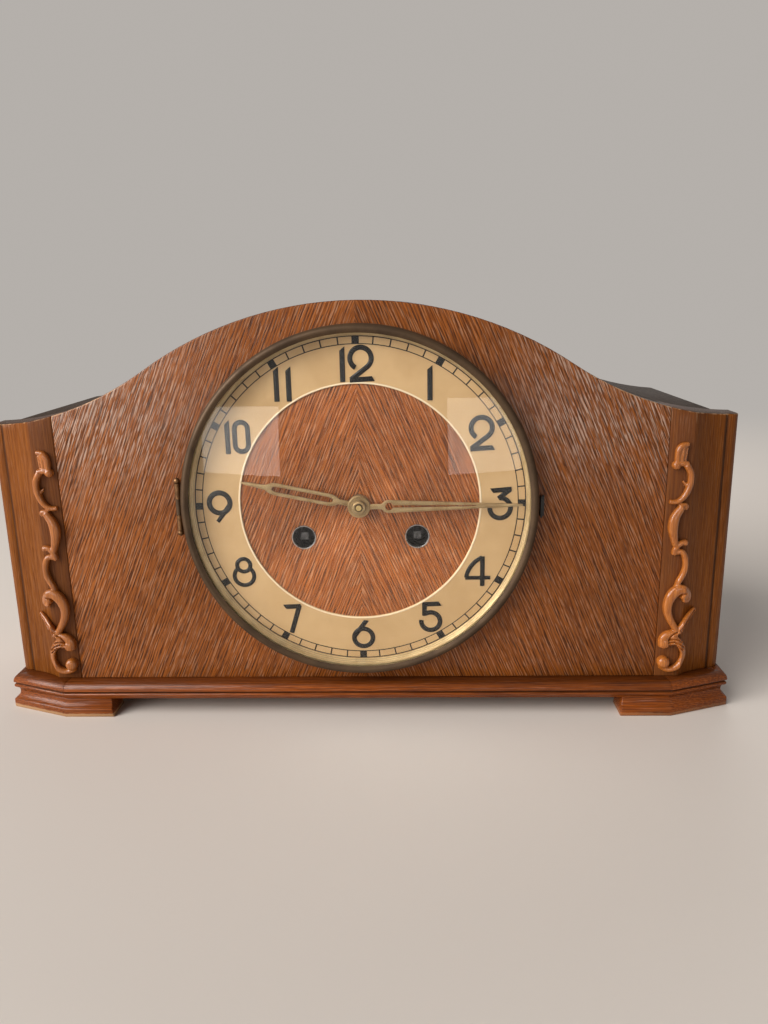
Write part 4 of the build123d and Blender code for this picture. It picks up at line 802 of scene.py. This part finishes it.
# %% Set the figures round the dial
FIGURES = [
    (one, (38.0, 64.2)), (two, (64.8, 37.6)), (three, (75.1, -0.35)), (four, (63.65, -38.1)),
    (five, (37.8, -64.5)), (six, (0.3, -74.4)), (seven, (-38.6, -65.0)), (eight, (-64.6, -37.65)),
    (nine, (-75.5, -0.4)), (ten, (-63.9, 37.4)), (eleven, (-38.4, 64.7)), (twelve, (0.0, 74.4)),
]
for number, (draw, at) in enumerate(FIGURES, start=1):
    figure = bmesh.new()
    draw(figure, at)
    piece(f"figure_{number}", figure, "case", gloss_black, crease=50)

# %% [markdown]
# ## Bezel, sight ring and glass
# The bezel is a hollow ring of dark bronze with a rolled edge. A gilt sight ring with fine steps stands
# behind it, and a domed glass is held between them. The glass is one curved sheet: its section is spun
# from a single point about the centre of the dome, then turned about the dial, and then given its
# thickness.

# %% Turn the bezel
BEZEL_SECTION = [(93, -0.3), (95, -0.3), (95, -9.0), (92.9, -11.0), (90.5, -9.6), (90.5, -9.2), (93, -9.2)]
BEZEL_ROLL = 1.3
NOSE_REACH, NOSE_DEPTH = 92.3, -9.25
SHOULDER_REACH, SHOULDER_DEPTH = 94.5, -8.5


def from_axis(edge):
    middle = (edge.verts[0].co + edge.verts[1].co) / 2
    return math.hypot(middle.x, middle.z - dial_z) / MM


def on_roll(edge):
    depths = [depth_of(v.co) for v in edge.verts]
    nose = from_axis(edge) > NOSE_REACH and min(depths) < NOSE_DEPTH
    shoulder = from_axis(edge) > SHOULDER_REACH and max(depths) < SHOULDER_DEPTH
    return nose or shoulder


bezel = bmesh.new()
turned(bezel, BEZEL_SECTION, FINE_STEPS)
bevelled(bezel, [e for e in sharp_edges(bezel, 20) if on_roll(e)], BEZEL_ROLL, 4)
print("bezel turned,", len(bezel.faces), "faces")

# %% Add the bezel's own third of the hinge
HINGE_X, LEAF_X = -97.6 * MM, -95.9 * MM
HINGE_Y = panel_face - 2.6 * MM
HINGE_HIGH, KNUCKLE_GAP = 26 * MM, 0.3 * MM
KNUCKLE_RADIUS = 1.5 * MM
LEAF_WIDE, LEAF_THICK = 2.6 * MM, 1.4 * MM

knuckle_high = HINGE_HIGH / 3 - KNUCKLE_GAP
bmesh.ops.create_cone(bezel, cap_ends=True, segments=32, radius1=KNUCKLE_RADIUS, radius2=KNUCKLE_RADIUS,
                      depth=knuckle_high, matrix=Matrix.Translation((HINGE_X, HINGE_Y, dial_z)))
leaf_size = Matrix.Diagonal((LEAF_WIDE, LEAF_THICK, knuckle_high, 1))
bmesh.ops.create_cube(bezel, size=1.0, matrix=Matrix.Translation((LEAF_X, HINGE_Y, dial_z)) @ leaf_size)
piece("bronze_bezel", bezel, "bezel_door", bezel_bronze, ["bezel_ring"])

# %% Turn the gilt sight ring, with painted shade in its grooves
SIGHT_SECTION = [
    (92.9, -1.1), (92.9, -6.3), (91.3, -6.3), (91.1, -5.8), (90.9, -6.3), (90.2, -6.3), (90.1, -5.6),
    (90.8, -5.2), (90.0, -4.7), (89.9, -4.0), (90.6, -3.6), (89.7, -3.1), (89.5, -2.4), (90.0, -2.1),
    (89.2, -1.7), (89.0, -1.1),
]
GROOVE_BOTTOMS = (-5.8, -5.2, -3.6, -2.1)

sight = bmesh.new()
turned(sight, SIGHT_SECTION, FINE_STEPS)
# The groove bottoms are marked for painted shade.
mark(sight, lambda depth: any(abs(depth - bottom) < 0.02 for bottom in GROOVE_BOTTOMS))
piece("stepped_sight_ring", sight, "bezel_door", sight_gilt, ["sight_ring"], crease=15)

# %% Clear glass that lets the lamps through
def clear_glass():
    material, tree, shader = new_finish("clear_glass")
    shader.inputs["Base Color"].default_value = (1.0, 1.0, 0.99, 1)
    shader.inputs["Transmission Weight"].default_value = 1.0
    shader.inputs["IOR"].default_value = 1.33
    smears = cloud(tree, in_mm(tree), (0.05, 0.05, 0.05), detail=6, rough=0.7)
    tree.links.new(spread(tree, smears, 0.4, 0.75, 0.0, 0.012), shader.inputs["Roughness"])
    in_shadow = node(tree, "LightPath").outputs["Is Shadow Ray"]
    open_air = node(tree, "BsdfTransparent").outputs[0]
    both = node(tree, "MixShader", {0: in_shadow, 1: shader.outputs[0], 2: open_air})
    tree.links.new(both.outputs[0], tree.nodes["Material Output"].inputs["Surface"])
    return material


# %% Blow the dome
DOME_RADIUS, DOME_REACH, GLASS_THICK = 500.0, 92.8, 2 * MM
DOME_APEX = depth_of(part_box("bezel_glass")[0])

dome = bmesh.new()
dome_centre = Vector((0, panel_face + (DOME_APEX + DOME_RADIUS) * MM, dial_z))
crown = dome.verts.new((0, panel_face + DOME_APEX * MM, dial_z))
bmesh.ops.spin(dome, geom=[crown], cent=dome_centre, axis=(0, 0, 1),
               angle=math.asin(DOME_REACH / DOME_RADIUS), steps=28)
bmesh.ops.spin(dome, geom=dome.verts[:] + dome.edges[:], cent=dome_centre, axis=(0, 1, 0), angle=math.tau,
               steps=160, use_merge=True)
bmesh.ops.remove_doubles(dome, verts=dome.verts, dist=WELD)
bmesh.ops.recalc_face_normals(dome, faces=dome.faces)
if sum(f.normal.y for f in dome.faces) > 0:
    bmesh.ops.reverse_faces(dome, faces=dome.faces)
bmesh.ops.solidify(dome, geom=dome.faces[:], thickness=GLASS_THICK)
depths = [depth_of(v.co) for v in dome.verts]
print("glass from", round(min(depths), 2), "to", round(max(depths), 2), "mm in front of the panel")
piece("domed_glass", dome, "bezel_door", clear_glass(), ["bezel_glass"], crease=60)

# %% [markdown]
# ## The hands
# Both hands are sawn from thin gilt brass: the hour hand with a long open loop, the minute hand with a
# round eye and a narrow slot. Each half outline is mirrored, filled between the outline and its opening,
# given its thickness and softened at the edges. The hands are drawn upright and then turned clockwise to
# the time that the clock shows.

# %% Saw a hand from sheet
HAND_SOFTENED = 0.28


def sawn_hand(halves, back, front, turn):
    bm = bmesh.new()
    for half in halves:
        outline = half + [(-x, z) for x, z in reversed(half)]
        verts = [bm.verts.new((x * MM, panel_face + back * MM, dial_z + z * MM)) for x, z in outline]
        for pair in zip(verts, verts[1:] + verts[:1]):
            bm.edges.new(pair)
    bmesh.ops.remove_doubles(bm, verts=bm.verts, dist=WELD)
    bmesh.ops.triangle_fill(bm, use_beauty=True, edges=bm.edges[:])
    grown = bmesh.ops.extrude_face_region(bm, geom=bm.faces[:])["geom"]
    front_verts = [g for g in grown if isinstance(g, bmesh.types.BMVert)]
    bmesh.ops.translate(bm, vec=(0, (front - back) * MM, 0), verts=front_verts)
    bmesh.ops.recalc_face_normals(bm, faces=bm.faces)
    rim = [e for e in sharp_edges(bm, 60) if max(depth_of(v.co) for v in e.verts) < front + 0.05]
    bevelled(bm, rim, HAND_SOFTENED, 2)
    clockwise = Matrix.Rotation(math.radians(turn), 3, "Y")
    bmesh.ops.rotate(bm, cent=(0, 0, dial_z), matrix=clockwise, verts=bm.verts)
    return bm


# %% The hour hand
HOUR_HALF = [(1.4, 4.5), (1.4, 11.2), (2.3, 12.6), (3.1, 14.6), (3.3, 17.0), (3.3, 45.4), (3.0, 47.8),
             (2.2, 49.6), (1.4, 51.0), (1.15, 53.0), (0.85, 61.5), (0.2, 64.5)]
HOUR_LOOP = [(0.7, 14.4), (1.3, 15.9), (1.5, 17.6), (1.5, 44.9), (1.25, 46.4), (0.6, 47.6)]
HOUR_BOSS = [(3.6, -3.0), (6.0, -3.0), (6.0, -4.1), (3.6, -4.1)]
HOUR_TURN = 282

hour_hand = sawn_hand([HOUR_HALF, HOUR_LOOP], -3.0, -3.9, HOUR_TURN)
turned(hour_hand, HOUR_BOSS, SMALL_STEPS)
piece("looped_hour_hand", hour_hand, "hour_hand_body", hand_gilt, ["hour_hand"])

# %% The minute hand
MINUTE_HALF = [(1.4, 4.5), (1.4, 11.8), (2.0, 12.6), (2.8, 13.5), (3.35, 14.7), (3.5, 16.0), (3.45, 18.0),
               (3.3, 20.0), (1.56, 62.0), (0.55, 86.5)]
MINUTE_BOSS = [(2.4, -5.2), (6.0, -5.2), (6.0, -6.4), (5.7, -6.7), (5.1, -6.7), (4.8, -6.45), (2.4, -6.45)]
MINUTE_TURN = 90
EYE, EYE_RADIUS = 16.0, 2.1
SLOT = [(0.7, 18.4), (0.25, 62.0)]

round_eye = [(EYE_RADIUS * math.sin(math.radians(a)), EYE - EYE_RADIUS * math.cos(math.radians(a)))
             for a in range(0, 161, 16)]
minute_hand = sawn_hand([MINUTE_HALF, round_eye + SLOT], -5.5, -6.4, MINUTE_TURN)
turned(minute_hand, MINUTE_BOSS, SMALL_STEPS)
piece("slotted_minute_hand", minute_hand, "minute_hand_body", hand_gilt, ["minute_hand"])

# %% Knurl the nut that holds the hands
NUT_SECTION = [(1.6, -6.4), (3.9, -6.4), (3.9, -7.7), (3.4, -8.4), (2.9, -8.6), (2.2, -8.6), (1.65, -7.6)]
NUT_STEPS = 72
KNURL_REACH, KNURL_SHARE = 3.8, 0.95

nut = bmesh.new()
turned(nut, NUT_SECTION, NUT_STEPS)
for vert in nut.verts:
    x, z = vert.co.x, vert.co.z - dial_z
    step = round(math.atan2(z, x) / math.tau * NUT_STEPS)
    if math.hypot(x, z) > KNURL_REACH * MM and step % 2:
        vert.co.x = x * KNURL_SHARE
        vert.co.z = dial_z + z * KNURL_SHARE
piece("knurled_hand_nut", nut, "minute_hand_body", hand_gilt, ["hand_nut"])

# %% [markdown]
# ## Winding holes
# Two black cups line the holes where the key goes in. Their rims stand a little proud and carry a painted
# highlight. Deep inside each shows the square end of its winding arbor.

# %% Turn the two bushes
CUP_REACH, CUP_HEIGHT = 30.8, 103.25
CUP_SECTION = [(5.7, 12.0), (6.2, 12.0), (6.2, 0.0), (6.6, 0.0), (6.6, -0.3), (6.5, -0.5), (6.25, -0.5),
               (5.85, -0.1), (5.7, 0.6)]
RIM_DEPTH = -0.45

bushes = bmesh.new()
for x in (-CUP_REACH, CUP_REACH):
    turned(bushes, CUP_SECTION, SMALL_STEPS, (x * MM, CUP_HEIGHT * MM))
# The rims are marked for a painted highlight.
mark(bushes, lambda depth: depth < RIM_DEPTH)
piece("winding_cups", bushes, "case", bush_black, ["winding_bushes"], crease=25)

# %% [markdown]
# ## The carved scrolls
# Each post carries a slim carving of C-scrolls, an S-scroll and a fluted shell. It could be sculpted, but
# it is drawn here as a carver would lay it out: every stem is a smooth curve through a few points with a
# swelling width. The stems are merged into one skin by a voxel remesh, smoothed, and laid on the two
# faces of the post.

# %% The drawing of the scrolls: distance from the middle, height, and three widths of each stem, in mm
SCROLLS = [
    ([(172.6, 151.9), (169.6, 151.8), (167.7, 149.9), (167.0, 147.0), (167.2, 142.2)], (2.4, 3.4, 3.0)),
    ([(169.9, 150.6), (169.4, 147.0), (169.2, 143.2)], (2.7, 2.9, 2.7)),
    ([(171.8, 150.2), (171.4, 147.0), (171.2, 143.4)], (1.8, 1.9, 1.8)),
    ([(173.0, 141.4), (169.8, 142.0), (167.6, 141.7), (166.0, 140.6)], (3.0, 3.4, 3.2)),
    ([(172.0, 141.0), (173.9, 138.4), (174.9, 135.3), (174.9, 131.4), (173.9, 127.9), (172.4, 124.3),
      (170.1, 121.8), (167.2, 120.7), (164.6, 121.2)], (3.6, 3.4, 2.4)),
    ([(174.2, 128.6), (172.4, 130.6), (171.0, 132.2)], (2.2, 1.8, 1.0)),
    ([(173.2, 117.0), (174.2, 118.6), (172.2, 119.6), (169.9, 118.4)], (2.0, 2.8, 3.2)),
    ([(171.4, 118.6), (168.6, 114.9), (167.1, 110.9), (166.9, 106.4), (167.8, 102.3), (169.3, 97.0)],
     (3.8, 6.0, 3.4)),
    ([(174.8, 98.9), (172.8, 98.7), (170.5, 97.4), (168.9, 94.2), (168.7, 92.0)], (2.6, 3.4, 3.0)),
    ([(168.2, 92.4), (170.7, 93.8), (173.4, 93.4), (174.8, 90.6), (175.6, 86.8), (175.2, 83.0), (173.7, 79.1),
      (171.9, 75.9), (171.0, 71.4)], (3.0, 3.6, 3.0)),
    ([(175.6, 66.6), (178.2, 65.2), (179.0, 67.8), (176.8, 71.2), (173.4, 72.8), (170.0, 70.8), (167.6, 66.9),
      (166.8, 62.0), (167.8, 57.0), (170.6, 52.1), (173.6, 47.4)], (3.2, 6.0, 3.4)),
    ([(184.4, 58.8), (181.0, 56.4), (177.8, 52.8), (175.4, 49.4), (173.8, 46.8)], (2.4, 4.6, 3.4)),
    ([(173.6, 46.4), (170.0, 46.6), (166.9, 45.0), (165.2, 42.2), (165.8, 39.2)], (4.0, 5.0, 4.4)),
    ([(171.0, 45.0), (174.1, 41.9), (176.9, 38.4), (178.3, 34.0), (177.5, 30.1), (175.0, 26.6), (171.7, 24.8),
      (168.0, 25.0), (165.4, 27.0)], (4.4, 3.8, 3.0)),
    ([(176.6, 40.4), (172.6, 41.6), (168.6, 41.6)], (3.0, 4.6, 4.4)),
]
BULBS = [(167.0, 29.4, 3.5), (166.7, 41.0, 3.4), (166.9, 140.9, 2.4), (175.6, 68.4, 2.4), (174.4, 98.4, 1.8)]
CUTS = [
    [(177.6, 38.2), (175.4, 40.6), (171.8, 41.9), (168.8, 41.6)],
    [(177.4, 36.6), (174.9, 38.8), (171.4, 40.0), (169.2, 39.9)],
    [(176.4, 41.6), (173.6, 43.4), (170.8, 43.6), (169.0, 43.0)],
    [(173.2, 47.4), (171.0, 46.6), (169.4, 44.8), (169.0, 42.8)],
    [(183.8, 58.2), (180.2, 55.2), (177.2, 51.6), (175.0, 48.6)],
    [(184.4, 57.0), (180.6, 53.8), (177.6, 50.4), (175.6, 47.8)],
    [(176.4, 70.2), (174.2, 69.8), (173.2, 67.6), (174.2, 65.8)],
]
print(len(SCROLLS), "stems,", len(BULBS), "bulbs and", len(CUTS), "cuts on each post")

# %% Bend one stem
SUNK = 0.3


def baked(holder):
    shape = bpy.data.meshes.new_from_object(holder.evaluated_get(bpy.context.evaluated_depsgraph_get()))
    bpy.data.objects.remove(holder)
    return shape


def swelling(widths, share):
    start, middle, end = widths
    if share < 0.5:
        return start + (middle - start) * 2 * share
    return middle + (end - middle) * (2 * share - 1)


def stem(points, widths):
    curve = bpy.data.curves.new("stem", "CURVE")
    curve.dimensions = "3D"
    curve.bevel_depth = 1 * MM
    curve.bevel_resolution = 5
    curve.resolution_u = 10
    curve.use_fill_caps = True
    line = curve.splines.new("NURBS")
    line.points.add(len(points) - 1)
    for k, (reach, height) in enumerate(points):
        wide = swelling(widths, k / (len(points) - 1))
        line.points[k].co = (reach * MM, -SUNK * wide * MM, height * MM, 1)
        line.points[k].radius = wide / 2
    line.order_u = 3
    line.use_endpoint_u = True
    return baked(put("stem", curve))


# %% Merge the stems into one skin
def skin(bm, cell):
    mesh = bpy.data.meshes.new("skin")
    bm.to_mesh(mesh)
    bm.free()
    holder = put("skin", mesh)
    remesh = holder.modifiers.new("merge", "REMESH")
    remesh.mode = "VOXEL"
    remesh.voxel_size = cell * MM
    merged = bmesh.new()
    merged.from_mesh(baked(holder))
    return merged


# %% Find the surface of the post and the distance to a cut
POST_BEND, POST_CORNER = 176.0, 195.6
POST_CANT, POST_HOLLOW = 0.5, 1.45


def post_surface(reach):
    share = min(1.0, max(0.0, (abs(reach) - POST_BEND) / (POST_CORNER - POST_BEND)))
    return POST_CANT * (POST_CORNER - POST_BEND) * share + 4 * POST_HOLLOW * share * (1 - share)


def to_line(spot, points):
    nearest = math.inf
    for first, second in zip(points, points[1:]):
        first, second = Vector(first), Vector(second)
        run = second - first
        share = min(1.0, max(0.0, (spot - first).dot(run) / run.length_squared))
        nearest = min(nearest, (spot - first - share * run).length)
    return nearest


print("the post falls back", round(post_surface(POST_CORNER), 1), "mm at its corner")

# %% Carve one side
RELIEF, STEEPNESS = 5.6, 1.5
CUT_DEPTH, CUT_HALF = 1.4, 0.55
SKIN_CELL = 0.28


def carved_depth(depth, spot):
    rounded = RELIEF * math.tanh(STEEPNESS * depth / RELIEF)
    return rounded - sum(CUT_DEPTH * max(0.0, 1 - (to_line(spot, cut) / CUT_HALF) ** 2) for cut in CUTS)


def carving(side):
    bm = bmesh.new()
    for points, widths in SCROLLS:
        bm.from_mesh(stem(points, widths))
    for x, z, radius in BULBS:
        bmesh.ops.create_uvsphere(bm, u_segments=24, v_segments=16, radius=radius * MM,
                                  matrix=Matrix.Translation((x * MM, -SUNK * radius * MM, z * MM)))
    bm = skin(bm, SKIN_CELL)
    bmesh.ops.smooth_vert(bm, verts=bm.verts, factor=0.5, use_axis_x=True, use_axis_y=True, use_axis_z=True)
    for vert in bm.verts:
        x, depth, z = vert.co.x / MM, -vert.co.y / MM, vert.co.z / MM
        if depth > 0:
            depth = carved_depth(depth, Vector((x, z)))
        vert.co.y = panel_face + (post_surface(x) - depth) * MM
    bmesh.ops.scale(bm, vec=(side, 1, 1), verts=bm.verts)
    return bm


CARVED = ((0.45, 0.141, 0.019), (0.30, 0.084, 0.011), (0.11, 0.028, 0.006))
carving_wood = wood("carving_wood", straight_grain("Z"), *CARVED, rough=0.4, coat=1.0, gloss=0.14, lined=0.1,
                    pores=0.2, glints=0.05)
piece("left_carved_scroll", carving(-1), "case", carving_wood, ["left_carving"], crease=180)
piece("right_carved_scroll", carving(1), "case", carving_wood, ["right_carving"], crease=180)

# %% [markdown]
# ## Pieces that keep their solid
# The hinge, the catch, the movement and the fittings at the back already have the right shape, so they
# only get their finish.

# %% Finish the carried-over pieces
KEPT = [
    (hinge_copper, ["bezel_hinge"]),
    (black_metal, ["bezel_catch"]),
    (hinge_brass, ["back_hinge_fixed_leaves", "back_hinge_door_leaves", "back_door_knob"]),
    (plate_brass, ["front_plate", "back_plate", "time_barrel", "strike_barrel", "pendulum_bob",
                   "rating_nut"]),
    (wheel_brass, ["cannon_pinion", "minute_wheel", "hour_wheel", "time_second_wheel", "centre_wheel",
                   "third_wheel", "escape_wheel", "strike_second_wheel", "pin_wheel", "fly"]),
    (arbor_steel, ["time_winding_arbor", "strike_winding_arbor"]),
    (steel, ["movement_pillars", "time_mainspring", "strike_mainspring", "time_click", "strike_click",
             "pallet_anchor", "pendulum_rod", "front_hammer", "rear_hammer", "gong_rods"]),
    (block_iron, ["gong_block"]),
]
for finish, names in KEPT:
    for name in names:
        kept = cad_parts[name]
        if kept.material_slots:
            kept.material_slots[0].material = finish
        else:
            kept.data.materials.append(finish)
    print(finish.name, "on", len(names), "pieces")
